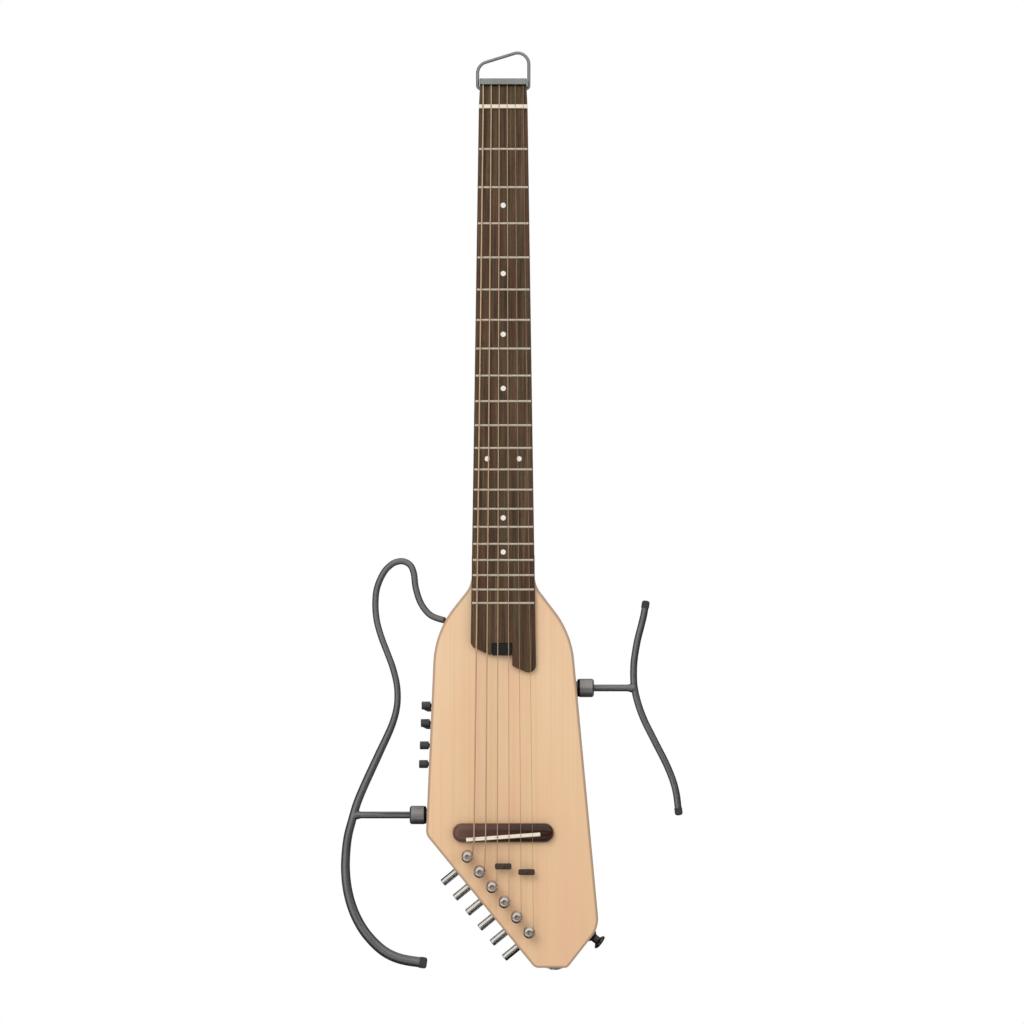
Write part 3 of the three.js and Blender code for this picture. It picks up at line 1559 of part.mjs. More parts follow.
neck();
fingerboard();
nut();
trussRod();
headPlate();
hangingLoop();
bodyPieces();
backCover();
batteryDoor();
battery();
controlPanel();
circuitCard();
knobDrops.forEach((_, i) => controlKnob(i));
bridgePieces();
guidePairs.forEach((_, pair) => stringGuide(pair));
for (let i = 0; i < stringCount; i += 1) {
  tunerHousing(i);
  tunerKey(i);
  tunerPost(i);
  guitarString(i);
}
frameSocket("lap_socket", -1);
frameSocket("arm_socket", 1);
lapFrame();
armFrame();
frameCollar("lap_collar", -1);
frameCollar("arm_collar", 1);
outputJack();
strapButton();

// The origin moves to the top of the loop's inner side, where a hook carries the guitar.
const hookX = loopHalfWidth - loopBendRadius;
const topBend = Math.PI / 2 + Math.atan(loopSlope);
const bendStart = loopBendRadius / Math.tan((Math.PI - topBend) / 2);
const hookZ = loopRightHeight - bendStart + loopBendRadius - loopWire / 2;
guitar.position.set(-hookX, -loopDepth, -hookZ);

export default guitar;
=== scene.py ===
import math

import bmesh
import bpy
from mathutils import Matrix, Vector


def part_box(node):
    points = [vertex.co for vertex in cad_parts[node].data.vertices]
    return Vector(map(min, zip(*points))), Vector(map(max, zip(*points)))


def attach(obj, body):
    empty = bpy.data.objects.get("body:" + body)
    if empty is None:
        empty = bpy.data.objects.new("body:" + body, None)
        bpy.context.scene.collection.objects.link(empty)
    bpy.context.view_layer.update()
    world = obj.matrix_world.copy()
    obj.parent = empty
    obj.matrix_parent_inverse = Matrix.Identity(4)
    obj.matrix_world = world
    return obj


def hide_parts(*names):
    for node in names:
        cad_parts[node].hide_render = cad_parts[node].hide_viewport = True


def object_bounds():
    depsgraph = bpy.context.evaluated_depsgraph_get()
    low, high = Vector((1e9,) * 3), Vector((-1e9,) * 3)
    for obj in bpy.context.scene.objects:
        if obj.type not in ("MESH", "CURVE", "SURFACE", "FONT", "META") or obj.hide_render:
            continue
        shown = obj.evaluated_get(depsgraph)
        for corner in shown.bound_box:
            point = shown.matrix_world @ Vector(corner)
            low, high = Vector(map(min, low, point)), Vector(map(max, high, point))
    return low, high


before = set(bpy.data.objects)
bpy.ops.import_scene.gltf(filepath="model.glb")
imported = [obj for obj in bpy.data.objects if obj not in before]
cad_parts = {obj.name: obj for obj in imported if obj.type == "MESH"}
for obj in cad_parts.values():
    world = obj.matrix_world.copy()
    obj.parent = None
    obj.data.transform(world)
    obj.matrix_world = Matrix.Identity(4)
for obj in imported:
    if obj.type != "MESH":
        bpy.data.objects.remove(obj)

CAD_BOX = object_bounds()
MIDDLE = (CAD_BOX[0] + CAD_BOX[1]) / 2

# Shapes below are in millimetres from the front face of the soundboard on the neck's centre line at
# the nut: x to the right, y towards the back, z up the neck. These lines find that place in the frame.
MM = 0.001
NUT_LOW, NUT_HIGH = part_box("nut")
ORIGIN = Vector(((NUT_LOW.x + NUT_HIGH.x) / 2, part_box("soundboard")[0].y, NUT_LOW.z))
RIGHT, BACKWARD, UP = Vector((1, 0, 0)), Vector((0, 1, 0)), Vector((0, 0, 1))
SMALL, NEAR = 1e-6, 1e-3  # a radius that is a point, and a gap that is no gap
SHARPEST_MITER = 0.5


def at(point):
    return ORIGIN + Vector(point) * MM


# Outlines and forms


def mixed(a, b, share):
    return a + (b - a) * share


def about(middle, half):
    """The span that reaches half its width to both sides of its middle."""
    return middle - half, middle + half


def wider(span, by):
    return span[0] - by, span[1] + by


def filleted(corners, closed=True, step=math.radians(6)):
    """Straight runs between corners (a, b, radius), with each corner rounded to an arc."""
    points = []
    for i, (a, b, radius) in enumerate(corners):
        here = Vector((a, b))
        if radius == 0 or (not closed and i in (0, len(corners) - 1)):
            points.append(here)
            continue
        before = (Vector(corners[i - 1][:2]) - here).normalized()
        after = (Vector(corners[(i + 1) % len(corners)][:2]) - here).normalized()
        half = before.angle(after) / 2
        centre = here + (before + after).normalized() * (radius / math.sin(half))
        start = here + before * (radius / math.tan(half)) - centre
        sweep = math.copysign(math.pi - 2 * half, -before.cross(after))
        steps = max(2, math.ceil(abs(sweep) / step))
        points += [centre + Matrix.Rotation(sweep * k / steps, 2) @ start for k in range(steps + 1)]
    return [p for i, p in enumerate(points) if (p - points[i - 1]).length > NEAR or (i == 0 and not closed)]


def rectangle(a, b, radius=0):
    return filleted([(a[0], b[0], radius), (a[1], b[0], radius), (a[1], b[1], radius), (a[0], b[1], radius)])


def inset(outline, distance):
    """A closed outline moved inward, each point along the bisector of its two runs."""
    if distance == 0:
        return outline
    area = sum(p.cross(outline[(i + 1) % len(outline)]) for i, p in enumerate(outline))
    moved = []
    for i, here in enumerate(outline):
        into = (here - outline[i - 1]).normalized()
        onward = (outline[(i + 1) % len(outline)] - here).normalized()
        normal = Vector((-(into.y + onward.y), into.x + onward.x)).normalized()
        miter = max(SHARPEST_MITER, normal.dot(Vector((-into.y, into.x))))
        moved.append(here + normal * (math.copysign(distance, area) / miter))
    return moved


def facing(a, b, depth):
    """Puts an outline in the plane of the soundboard."""
    return Vector((a, depth, b))


def skinned(rings, looped=False):
    """Rings joined into a closed form. A ring of one point is a pole; other end rings are capped."""
    points, starts, faces = [], [], []
    for ring in rings:
        starts.append(len(points))
        points += ring
    last = len(rings) - (0 if looped else 1)
    for i in range(last):
        j = (i + 1) % len(rings)
        count = max(len(rings[i]), len(rings[j]))
        for k in range(count):
            n = (k + 1) % count
            low = [starts[i] + k, starts[i] + n] if len(rings[i]) > 1 else [starts[i]]
            high = [starts[j] + n, starts[j] + k] if len(rings[j]) > 1 else [starts[j]]
            faces.append(low + high)
    for i in () if looped else (0, -1):
        if len(rings[i]) > 1:
            faces.append([starts[i] + k for k in range(len(rings[i]))])
    return points, faces


def slab(outline, front, back, rims=(0, 0), steps=5, place=facing):
    """An outline as a solid between two depths, with both rims rounded."""
    turns = [math.pi / 2 * k / steps for k in range(steps + 1)]
    levels = [(front + rims[0] * (1 - math.cos(t)), rims[0] * (1 - math.sin(t))) for t in turns if rims[0]]
    levels += [(front, 0)] if not rims[0] else []
    levels += [(back, 0)] if not rims[1] else []
    turned_back = [t for t in reversed(turns) if rims[1]]
    levels += [(back - rims[1] * (1 - math.cos(t)), rims[1] * (1 - math.sin(t))) for t in turned_back]
    return skinned([[place(p.x, p.y, depth) for p in inset(outline, away)] for depth, away in levels])


def box(x, y, z):
    return slab(rectangle(x, z), y[0], y[1])


def across(axis):
    """Two directions square to an axis and to each other."""
    helper = BACKWARD if abs(axis.dot(BACKWARD)) < 0.9 else RIGHT
    first = helper.cross(axis).normalized()
    return first, axis.cross(first)


def turned(profile, origin, axis, sides, ribs=0, rib_depth=0):
    """A turned form whose profile is (distance along the axis, radius), ribbed where asked."""
    axis = axis.normalized()
    first, second = across(axis)
    rings = []
    for along, radius in profile:
        centre = origin + axis * along
        if radius < SMALL:
            rings.append([centre])
            continue
        ring = []
        for k in range(sides):
            angle = 2 * math.pi * k / sides
            reach = radius - rib_depth * (0.5 - 0.5 * math.cos(ribs * angle)) if ribs else radius
            ring.append(centre + (first * math.cos(angle) + second * math.sin(angle)) * reach)
        rings.append(ring)
    looped = profile[0] == profile[-1]
    return skinned(rings[:-1] if looped else rings, looped)


def lathed(corners, origin, axis, sides, step=15, ribs=0, rib_depth=0):
    """A turned form from corners (along, radius, rounding), whose arcs take steps of so many degrees."""
    profile = [tuple(p) for p in filleted(corners, closed=False, step=math.radians(step))]
    return turned(profile, origin, axis, sides, ribs, rib_depth)


def bar(radius, low, high, origin, axis, sides=32, rounding=0):
    """A round bar between two distances along an axis."""
    corners = [(low, 0, 0), (low, radius, rounding), (high, radius, rounding), (high, 0, 0)]
    return lathed(corners, origin, axis, sides)


def swept(path, radii, sides):
    """A round rod along a path, with one radius or a radius for each point, and flat ends."""
    if not isinstance(radii, list):
        radii = [radii] * len(path)
    normal = Vector(BACKWARD)
    rings = []
    for i, point in enumerate(path):
        tangent = (path[min(i + 1, len(path) - 1)] - path[max(i - 1, 0)]).normalized()
        normal = (normal - tangent * normal.dot(tangent)).normalized()
        side = tangent.cross(normal)
        angles = [2 * math.pi * k / sides for k in range(sides)]
        rings.append([point + (normal * math.cos(a) + side * math.sin(a)) * radii[i] for a in angles])
    return skinned(rings)


# Objects

EDGE_WIDTH, EDGE_ANGLE = 0.25, 35
SMOOTH_ANGLE = 38


def in_scene(name, data):
    made = bpy.data.objects.new(name, data)
    bpy.context.scene.collection.objects.link(made)
    return made


def mesh_object(name, form):
    mesh = bpy.data.meshes.new(name)
    mesh.from_pydata([at(p) for p in form[0]], [], form[1])
    tidy = bmesh.new()
    tidy.from_mesh(mesh)
    bmesh.ops.recalc_face_normals(tidy, faces=tidy.faces)
    tidy.to_mesh(mesh)
    tidy.free()
    return in_scene(name, mesh)


def carve(target, forms, operation="DIFFERENCE"):
    """Cuts forms out of an object, or joins them to it, and keeps the result as its mesh."""
    for form in forms:
        tool = mesh_object("tool", form)
        change = target.modifiers.new("carve", "BOOLEAN")
        change.operation = operation
        change.solver = "EXACT"
        change.object = tool
        ready = target.evaluated_get(bpy.context.evaluated_depsgraph_get())
        made = bpy.data.meshes.new_from_object(ready)
        target.modifiers.remove(change)
        target.data = made
        bpy.data.objects.remove(tool)


def soften(target):
    """Rounds an object's sharp edges a little, as every made edge is."""
    edge = target.modifiers.new("edge", "BEVEL")
    edge.width = EDGE_WIDTH * MM
    edge.segments = 2
    edge.limit_method = "ANGLE"
    edge.angle_limit = math.radians(EDGE_ANGLE)


def shade(target, angle=SMOOTH_ANGLE):
    """Smooth shading that stays sharp at edges and keeps large flat faces flat."""
    target.data.shade_smooth()
    target.data.set_sharp_from_angle(angle=math.radians(angle))
    flat = target.modifiers.new("flat faces", "WEIGHTED_NORMAL")
    flat.keep_sharp = True


def piece(name, form, finish, body="guitar", replaces=None, cuts=(), adds=(), soft=False,
          angle=SMOOTH_ANGLE):
    """One finished piece: its form, joined and cut, with its material, body and the node it stands for."""
    made = mesh_object(name, form)
    carve(made, adds, "UNION")
    carve(made, cuts)
    if soft:
        soften(made)
    shade(made, angle)
    material, slot = finish
    made.data.materials.clear()
    made.data.materials.append(material)
    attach(made, body)
    if replaces:
        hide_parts(replaces)
    return made


# Materials

FIRST_COLOUR, SECOND_COLOUR = 6, 7  # a Mix node's colour sockets


def linear(colour):
    """An sRGB hex colour as the linear numbers that the shader takes."""
    parts = [int(colour[i : i + 2], 16) / 255 for i in (0, 2, 4)]
    return [p / 12.92 if p <= 0.04045 else ((p + 0.055) / 1.055) ** 2.4 for p in parts] + [1]


def add(tree, kind, settings=None, links=None):
    """Adds one node. Settings go to its sockets, its properties or a ramp's stops, where a hex text is a
    colour. Links go to its sockets, from a socket or from a node's first live output."""
    node = tree.nodes.new(kind)
    for key, value in (settings or {}).items():
        if key == "stops":
            for number, (place, colour) in enumerate(value):
                stops = node.color_ramp.elements
                stop = stops[number] if number < 2 else stops.new(place)
                stop.position = place
                stop.color = linear(colour)
        elif isinstance(key, int) or key in node.inputs:
            node.inputs[key].default_value = linear(value) if isinstance(value, str) else value
        else:
            setattr(node, key, value)
    for key, source in (links or {}).items():
        if not isinstance(source, bpy.types.NodeSocket):
            source = next(output for output in source.outputs if output.enabled)
        tree.links.new(source, node.inputs[key])
    return node


def per_mm(width, depth, length):
    """A Mapping scale that gives a pattern a size in millimetres across, into and along the guitar."""
    return [1 / (size * MM) for size in (width, depth, length)]


def new_material(name):
    """An empty material, its node tree and the socket that gives places on the object, in metres."""
    material = bpy.data.materials.new(name)
    material.use_nodes = True
    tree = material.node_tree
    tree.nodes.clear()
    return material, tree, add(tree, "ShaderNodeTexCoord").outputs["Object"]


def patches(tree, local, size, detail, place=(0, 0, 0)):
    """A soft pattern of a size in millimetres, taken from a place in the noise."""
    space = add(tree, "ShaderNodeMapping", {"Scale": per_mm(*size), "Location": place}, {"Vector": local})
    return add(tree, "ShaderNodeTexNoise", {"Scale": 1, "Detail": detail}, {"Vector": space})


def tinted(tree, base, colour, value, start, full, most):
    """Lays a colour over a base where a value rises from start to full, up to the share most."""
    reach = {"From Min": start, "From Max": full, "To Max": most}
    share = add(tree, "ShaderNodeMapRange", reach, {"Value": value})
    over = {"data_type": "RGBA", SECOND_COLOUR: colour}
    return add(tree, "ShaderNodeMix", over, {0: share, FIRST_COLOUR: base})


def layered(tree, local, colour, layers):
    """Lays patterns over a colour and returns the result with the last pattern. Each layer is a size in
    millimetres, a place in the noise, a detail, a colour, and where it starts, is full and its most."""
    for size, place, detail, tint, reach in layers:
        pattern = patches(tree, local, size, detail, place)
        colour = tinted(tree, colour, tint, pattern, *reach)
    return colour, pattern


def surfaced(tree, look, colour, height=None, relief=None, sunk=False, rough=None):
    """Ends a material: its numbers, colour and roughness, and a relief raised or sunk by a pattern, as a
    strength and a height in millimetres."""
    links = {"Base Color": colour}
    if rough:
        links["Roughness"] = rough
    if relief:
        raised = {"Strength": relief[0], "Distance": relief[1] * MM, "invert": sunk}
        links["Normal"] = add(tree, "ShaderNodeBump", raised, {"Height": height})
    surface = add(tree, "ShaderNodeBsdfPrincipled", look, links)
    add(tree, "ShaderNodeOutputMaterial", links={"Surface": surface})


def patterned(name, size, detail, stops, look, rough=None, relief=None):
    """A material with one pattern, of a size in millimetres. It moves the colour through stops and, where
    asked, the roughness between two values and the surface by a strength and a height in millimetres."""
    material, tree, local = new_material(name)
    pattern = patches(tree, local, size, detail)
    colour = add(tree, "ShaderNodeValToRGB", {"stops": stops}, {"Fac": pattern})
    if rough:
        span = {"To Min": rough[0], "To Max": rough[1]}
        rough = add(tree, "ShaderNodeMapRange", span, {"Value": pattern})
    surfaced(tree, look, colour, pattern, relief, rough=rough)
    return material


def satin_spruce():
    """Planed spruce under satin varnish: pale gold, fine straight rings, warm patches and a soft sheen, with
    painted light towards the top and painted shade on the rounded rim.
    """
    material, tree, local = new_material("satin_spruce")
    # Painted light: the colour runs lighter from the bottom of the soundboard to its top, where more light
    # falls.
    low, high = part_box("soundboard")
    parts = add(tree, "ShaderNodeSeparateXYZ", links={"Vector": local})
    heights = {"From Min": low.z, "From Max": high.z}
    painted_light_rise = add(tree, "ShaderNodeMapRange", heights, {"Value": parts.outputs["Z"]})
    stops = [(0, "e4b993"), (0.45, "ebc49c"), (1, "f1d1ad")]
    base = add(tree, "ShaderNodeValToRGB", {"stops": stops}, {"Fac": painted_light_rise})
    grained, rings = layered(tree, local, base, [
        # Pinkish patches are as wide as two fingers.
        ((30, 30, 90), (7, 7, 7), 1, "ecb994", (0.4, 0.8, 0.6)),
        # Light and dark years run in bands about 16 mm wide.
        ((16, 16, 420), (3, 3, 3), 2, "e6c896", (0.35, 0.75, 0.55)),
        # Rings stand 1.2 mm apart in such tops, and are drawn 2.4 mm apart so that they show.
        ((2.4, 2.4, 320), (0, 0, 0), 3, "d8a77c", (0.45, 0.85, 0.36)),
    ])
    # Painted shade: where the rounded rim turns away from the front it is painted darker, as shade falls
    # there.
    way = add(tree, "ShaderNodeSeparateXYZ", links={"Vector": local.node.outputs["Normal"]})
    rim_painted_shade = tinted(tree, grained, "b89a80", way.outputs["Y"], -0.996, -0.94, 0.85)
    look = {"Roughness": 0.48, "Coat Weight": 0.12, "Coat Roughness": 0.35}
    surfaced(tree, look, rim_painted_shade, rings, (0.25, 0.03))
    return material, "spruce_top"


def oiled_mahogany():
    """Sanded and oiled mahogany: reddish brown, with ribbon streaks and short dark open pores."""
    material, tree, local = new_material("oiled_mahogany")
    # A ribbon is about 7 mm wide, where the grain turns over.
    ribbons = patches(tree, local, (7, 7, 160), 3)
    stops = [(0.25, "8a573a"), (0.5, "a26e4a"), (0.75, "b7845c")]
    base = add(tree, "ShaderNodeValToRGB", {"stops": stops}, {"Fac": ribbons})
    # Pores are 0.3 mm wide and 5 mm long in the wood, drawn 0.6 mm wide so that they show.
    layers = [((0.6, 0.6, 9), (5, 5, 5), 1, "65391f", (0.58, 0.73, 0.7))]
    grained, pores = layered(tree, local, base, layers)
    look = {"Roughness": 0.5, "Coat Weight": 0.08, "Coat Roughness": 0.4}
    surfaced(tree, look, grained, pores, (0.4, 0.05), sunk=True)
    return material, "mahogany"


def rosewood(name, look, colours, red_streak, olive_streak, crosswise=False, painted_sheen=None):
    """Rosewood: dark brown with reddish, olive and near-black streaks and fine open pores. The grain runs
    along the neck or crosswise, and one end may be painted lighter, a painted highlight that stands for a
    lamp's sheen."""
    material, tree, local = new_material(name)

    def grain(wide, long):
        return (long, wide, wide) if crosswise else (wide, wide, long)

    # Dark and tan lines are 1 to 2 mm wide and run for a hand's width.
    line_space = add(tree, "ShaderNodeMapping", {"Scale": per_mm(*grain(1.7, 90))}, {"Vector": local})
    fine = {"Scale": 1, "Detail": 4, "Roughness": 0.6}
    lines = add(tree, "ShaderNodeTexNoise", fine, {"Vector": line_space})
    stops = list(zip((0.3, 0.44, 0.56, 0.7), colours))
    base = add(tree, "ShaderNodeValToRGB", {"stops": stops}, {"Fac": lines})
    grained, pores = layered(tree, local, base, [
        # Red and olive runs are about 5 mm wide.
        (grain(5, 120), (4, 4, 4), 2, red_streak, (0.48, 0.66, 0.7)),
        (grain(4, 80), (11, 6, 2), 2, olive_streak, (0.52, 0.68, 0.7)),
        # Pores are 0.2 mm wide and 4 mm long, drawn 0.5 mm wide so that they show.
        (grain(0.5, 6), (9, 9, 9), 1, colours[0], (0.58, 0.72, 0.7)),
    ])
    # Painted highlight: the left end is painted lighter, standing for the lamp's sheen on it.
    if painted_sheen:
        across_neck = add(tree, "ShaderNodeSeparateXYZ", links={"Vector": local}).outputs["X"]
        grained = tinted(tree, grained, painted_sheen, across_neck, at((12, 0, 0)).x, at((-44, 0, 0)).x, 0.6)
    surfaced(tree, look, grained, pores, (0.4, 0.04), sunk=True)
    return material, "rosewood"


def polished_bone(name, low_colour, high_colour):
    """Polished bone: warm cream, with faint fibres along it and a soft gloss."""
    # Fibres are about 0.6 mm wide and 8 mm long.
    stops = [(0.3, low_colour), (0.7, high_colour)]
    look = {"Roughness": 0.3, "Subsurface Weight": 0.05}
    return patterned(name, (8, 0.6, 0.8), 3, stops, look, relief=(0.2, 0.02)), "bone"


def blasted_steel(name, low_colour, high_colour, edge_tint="5a5a5a"):
    """Steel, bead blasted and plated dark: even grey metal with a broad soft highlight and dull edges."""
    material, tree, local = new_material(name)
    # Bead marks are about 0.15 mm, drawn at 0.5 mm so that they show close to.
    marks = patches(tree, local, (0.5, 0.5, 0.5), 2)
    # The plating is cloudy over 12 mm across and 30 mm along.
    clouds = patches(tree, local, (12, 12, 30), 2)
    stops = [(0.3, low_colour), (0.7, high_colour)]
    base = add(tree, "ShaderNodeValToRGB", {"stops": stops}, {"Fac": clouds})
    rough = add(tree, "ShaderNodeMapRange", {"To Min": 0.38, "To Max": 0.46}, {"Value": marks})
    surfaced(tree, {"Metallic": 0.9, "Specular Tint": edge_tint}, base, rough=rough)
    return material, "gunmetal"


def polished_nickel():
    """Turned and polished nickel plate: bright, so it takes hard light and dark bands from the room."""
    # Fingers and use dull the plate in patches of about 4 mm.
    stops = [(0.3, "d6d2cc"), (0.7, "e0dcd6")]
    return patterned("polished_nickel", (4, 4, 4), 2, stops, METAL, (0.2, 0.26)), "nickel"


def satin_nickel():
    """Tumbled nickel plate on the post heads: warm grey, with a soft round highlight."""
    # Strings and fingers scuff the heads in patches of about 2 mm.
    stops = [(0.3, "d2c8be"), (0.7, "ded5cb")]
    return patterned("satin_nickel", (2, 2, 2), 3, stops, METAL, (0.3, 0.4)), "nickel"


def bronze_winding():
    """Bronze wire wound on a steel core: pale reddish gold with a fine ribbed surface."""
    material, tree, local = new_material("bronze_winding")
    # The winding's pitch is 0.25 mm, drawn at 0.9 mm so that its ribs show.
    waves_per_unit = 1 / (2 * math.pi / 20)
    winding = {"bands_direction": "Z", "Scale": 1 / (0.9 * MM) / waves_per_unit}
    ribs = add(tree, "ShaderNodeTexWave", winding, {"Vector": local}).outputs["Fac"]
    # The colour darkens in the grooves between turns: painted shade.
    stops = [(0.1, "b08c6a"), (0.6, "e4c5a6")]
    base = add(tree, "ShaderNodeValToRGB", {"stops": stops}, {"Fac": ribs})
    surfaced(tree, {"Metallic": 0.6, "Roughness": 0.4}, base, ribs, (0.4, 0.05))
    return material, "wound_string"


def plain_steel_wire():
    """Drawn and tinned steel wire: a thin line, painted a darker brown that stands for the shadow it casts on
    the pale wood.
    """
    # Drawing leaves faint lines along the wire, 20 mm long.
    stops = [(0.3, "a18b75"), (0.7, "b9a38b")]
    look = {"Metallic": 0.5, "Roughness": 0.3}
    return patterned("plain_steel_wire", (0.3, 0.3, 20), 1, stops, look), "plain_string"


def nickel_silver():
    """Fret wire, crowned and polished across: a pale warm metal."""
    # Polishing runs across the neck in lines about 0.4 mm apart.
    stops = [(0.3, "c6bbaa"), (0.7, "dbd1c1")]
    look = {"Metallic": 0.5, "Roughness": 0.5}
    return patterned("nickel_silver", (6, 4, 0.4), 2, stops, look), "nickel"


def machined_steel():
    """Milled steel: a cool mid grey with fine tool marks."""
    # Tool marks stand 0.4 mm apart.
    stops = [(0.3, "8f9194"), (0.7, "b3b4b6")]
    return patterned("machined_steel", (0.4, 0.4, 8), 2, stops, METAL, (0.28, 0.42)), "steel"


def black_abs(name, look, rough):
    """Moulded black ABS: fine grain that scatters a faint grey sheen, duller or glossier by its finish."""
    # Moulded grain of 0.2 mm, drawn at 0.6 mm so that it shows.
    stops = [(0.3, "101011"), (0.7, "1b1b1d")]
    return patterned(name, (0.6, 0.6, 0.6), 2, stops, look, rough, (0.3, 0.02)), "black_plastic"


def black_rubber():
    """Moulded rubber: dull charcoal with a dusty bloom."""
    # The bloom lies in patches of about 2 mm.
    stops = [(0.3, "363635"), (0.7, "444341")]
    look = {"Roughness": 0.78, "Specular IOR Level": 0.3}
    return patterned("black_rubber", (2, 2, 2), 3, stops, look, relief=(0.3, 0.03)), "rubber_cap"


def circuit_laminate():
    """Glass-fibre laminate under green lacquer, with a faint weave."""
    # The glass cloth's threads are 0.8 mm wide.
    stops = [(0.3, "1f4a30"), (0.7, "2f6444")]
    return patterned("circuit_laminate", (5, 0.8, 0.8), 1, stops, {"Roughness": 0.35}), "circuit_board"


def shielding_brass():
    """Rolled brass: warm yellow metal with rolling lines."""
    # Rolling lines are 0.5 mm wide and 12 mm long.
    stops = [(0.3, "a8803f"), (0.7, "c79f5c")]
    look = {"Metallic": 1, "Roughness": 0.32}
    return patterned("shielding_brass", (12, 0.5, 0.5), 2, stops, look), "pickup_brass"


def battery_sleeve():
    """A lacquered steel sleeve left plain: dark grey with small scuffs."""
    # Scuffs are about 1 mm wide and 6 mm long.
    stops = [(0.4, "2e3032"), (0.75, "4a4c4f")]
    look = {"Metallic": 0.3}
    return patterned("battery_sleeve", (1.2, 1.2, 6), 4, stops, look, (0.3, 0.5)), "battery_case"


def shell_pearl():
    """Cut shell let into the board: pale, with soft pink and green shifts."""
    # Layers of shell meet the face about 1.5 mm apart.
    stops = [(0.3, "dfe8e2"), (0.5, "f4f0e6"), (0.7, "f3e2e2")]
    look = {"Roughness": 0.25, "Coat Weight": 0.3}
    return patterned("shell_pearl", (1.6, 1.6, 1.1), 3, stops, look), "bone"


METAL = {"Metallic": 1}
OILED = {"Roughness": 0.46, "Specular IOR Level": 0.25}
WAXED = {"Roughness": 0.3, "Specular IOR Level": 0.4, "Coat Weight": 0.15, "Coat Roughness": 0.25}
BOARD_COLOURS = ("2b1e15", "433221", "594530", "6f5840")
BRIDGE_COLOURS = ("1c0e09", "2f1911", "3c2218", "4d2b1f")
SPRUCE = satin_spruce()
MAHOGANY = oiled_mahogany()
ROSEWOOD = rosewood("oiled_rosewood", OILED, BOARD_COLOURS, "5b372b", "4c442c")
# The bridge's left end is painted lighter: a painted highlight.
BRIDGE_WOOD = rosewood("waxed_rosewood", WAXED, BRIDGE_COLOURS, "4a251c", "38231a", True, "7c5a4e")
BONE = polished_bone("polished_bone", "e2d2b8", "efe2cd")
# The saddle's bone is a lighter copy of the nut's: painted light that makes up for the shade on the saddle.
SADDLE_PAINTED_LIGHT_BONE = polished_bone("painted_light_bone", "fbeed6", "fffaea")
TUBE_STEEL = blasted_steel("gunmetal_tube", "7a7a7a", "838382")
COLLAR_STEEL = blasted_steel("gunmetal_collar", "8f8d8b", "9b9997")
BAR_STEEL = blasted_steel("zinc_plated_bar", "8c8e8a", "989a96", "8a8a8a")
GUIDE_STEEL = blasted_steel("bronzed_guide", "5b5048", "6a5f56", "4a4038")
# Near-black steel for the collars' rims by the body: painted shade where each collar meets the body.
SHADE_PAINTED_STEEL = blasted_steel("shade_painted_rim", "1c1a18", "262422")
NICKEL = polished_nickel()
POST_NICKEL = satin_nickel()
BRONZE = bronze_winding()
PLAIN_WIRE = plain_steel_wire()
FRET_METAL = nickel_silver()
STEEL = machined_steel()
BLACK = black_abs("black_abs", {"Specular IOR Level": 0.3}, (0.4, 0.56))
POLISHED = {"Specular IOR Level": 0.8, "Coat Weight": 0.3}
GLOSS_BLACK = black_abs("polished_black_abs", POLISHED, (0.2, 0.3))
RUBBER = black_rubber()
LAMINATE = circuit_laminate()
BRASS = shielding_brass()
SLEEVE = battery_sleeve()
PEARL = shell_pearl()


# Neck, fingerboard, frets and nut

SCALE = 635
FRETS = 20
BOARD_NUT_WIDTH = 43
HEAD_WIDTH = 41
BOARD_END_WIDTH = 58
HEAD_LENGTH = 20.4
BOARD_THICKNESS = 6
BOARD_CAMBER = 400
BOARD_EDGE = 1.1
BOARD_END_SLOPE = 0.45
BOARD_CORNER, CUTOUT_CORNER = 6.5, 1.5
STEP_X = 7.9
SEAT = 0.3
COVER_WIDTH, COVER_LENGTH = 17.2, 10.3
NUT_THICKNESS, NUT_HEIGHT, NUT_SLOT, NUT_SLOPE = 3.6, 5, 2.6, 0.8
NUT_SPREAD, SADDLE_SPREAD = 35.2, 51.3
NUT_STRING_HEIGHT, SADDLE_STRING_HEIGHT = 7.7, 11.5
STRING_SIZES = [1.35, 1.07, 0.81, 0.61, 0.41, 0.3]
WOUND = 4
MARKED_FRETS, OCTAVE = (3, 5, 7, 9, 12, 15, 17), 12
DOT_RADIUS, DOT_SPREAD = 2.3, 14


def fret_z(fret):
    return -SCALE * (1 - 2 ** (-fret / 12))


BEYOND_LAST_FRET, END_STEP = 46.5, 18.3
SHORT_END = BEYOND_LAST_FRET - fret_z(FRETS)
LONG_END = SHORT_END + END_STEP
COVER_TOP = -SHORT_END + COVER_LENGTH + 2 * SEAT


def board_half(z):
    if z > 0:
        return mixed(BOARD_NUT_WIDTH, HEAD_WIDTH, z / HEAD_LENGTH) / 2
    return mixed(BOARD_NUT_WIDTH, BOARD_END_WIDTH, -z / LONG_END) / 2


def board_top(x):
    """The depth of the fingerboard's arched face."""
    return -BOARD_THICKNESS + x * x / (2 * BOARD_CAMBER)


def string_share(i):
    return i / (len(STRING_SIZES) - 1) - 0.5


def board_outline():
    cap_left = STEP_X - COVER_WIDTH - 2 * SEAT
    left, right = -board_half(-SHORT_END), board_half(-LONG_END)
    left_end = -SHORT_END - (left - cap_left) * BOARD_END_SLOPE
    return filleted([
        (-board_half(HEAD_LENGTH), HEAD_LENGTH, 0),
        (-board_half(0), 0, 0),
        (left, left_end, BOARD_CORNER),
        (cap_left, -SHORT_END, CUTOUT_CORNER),
        (cap_left, COVER_TOP, 0),
        (STEP_X, COVER_TOP, 0),
        (STEP_X, -LONG_END - (STEP_X - right) * BOARD_END_SLOPE, CUTOUT_CORNER),
        (right, -LONG_END, BOARD_CORNER),
        (board_half(0), 0, 0),
        (board_half(HEAD_LENGTH), HEAD_LENGTH, 0),
    ])


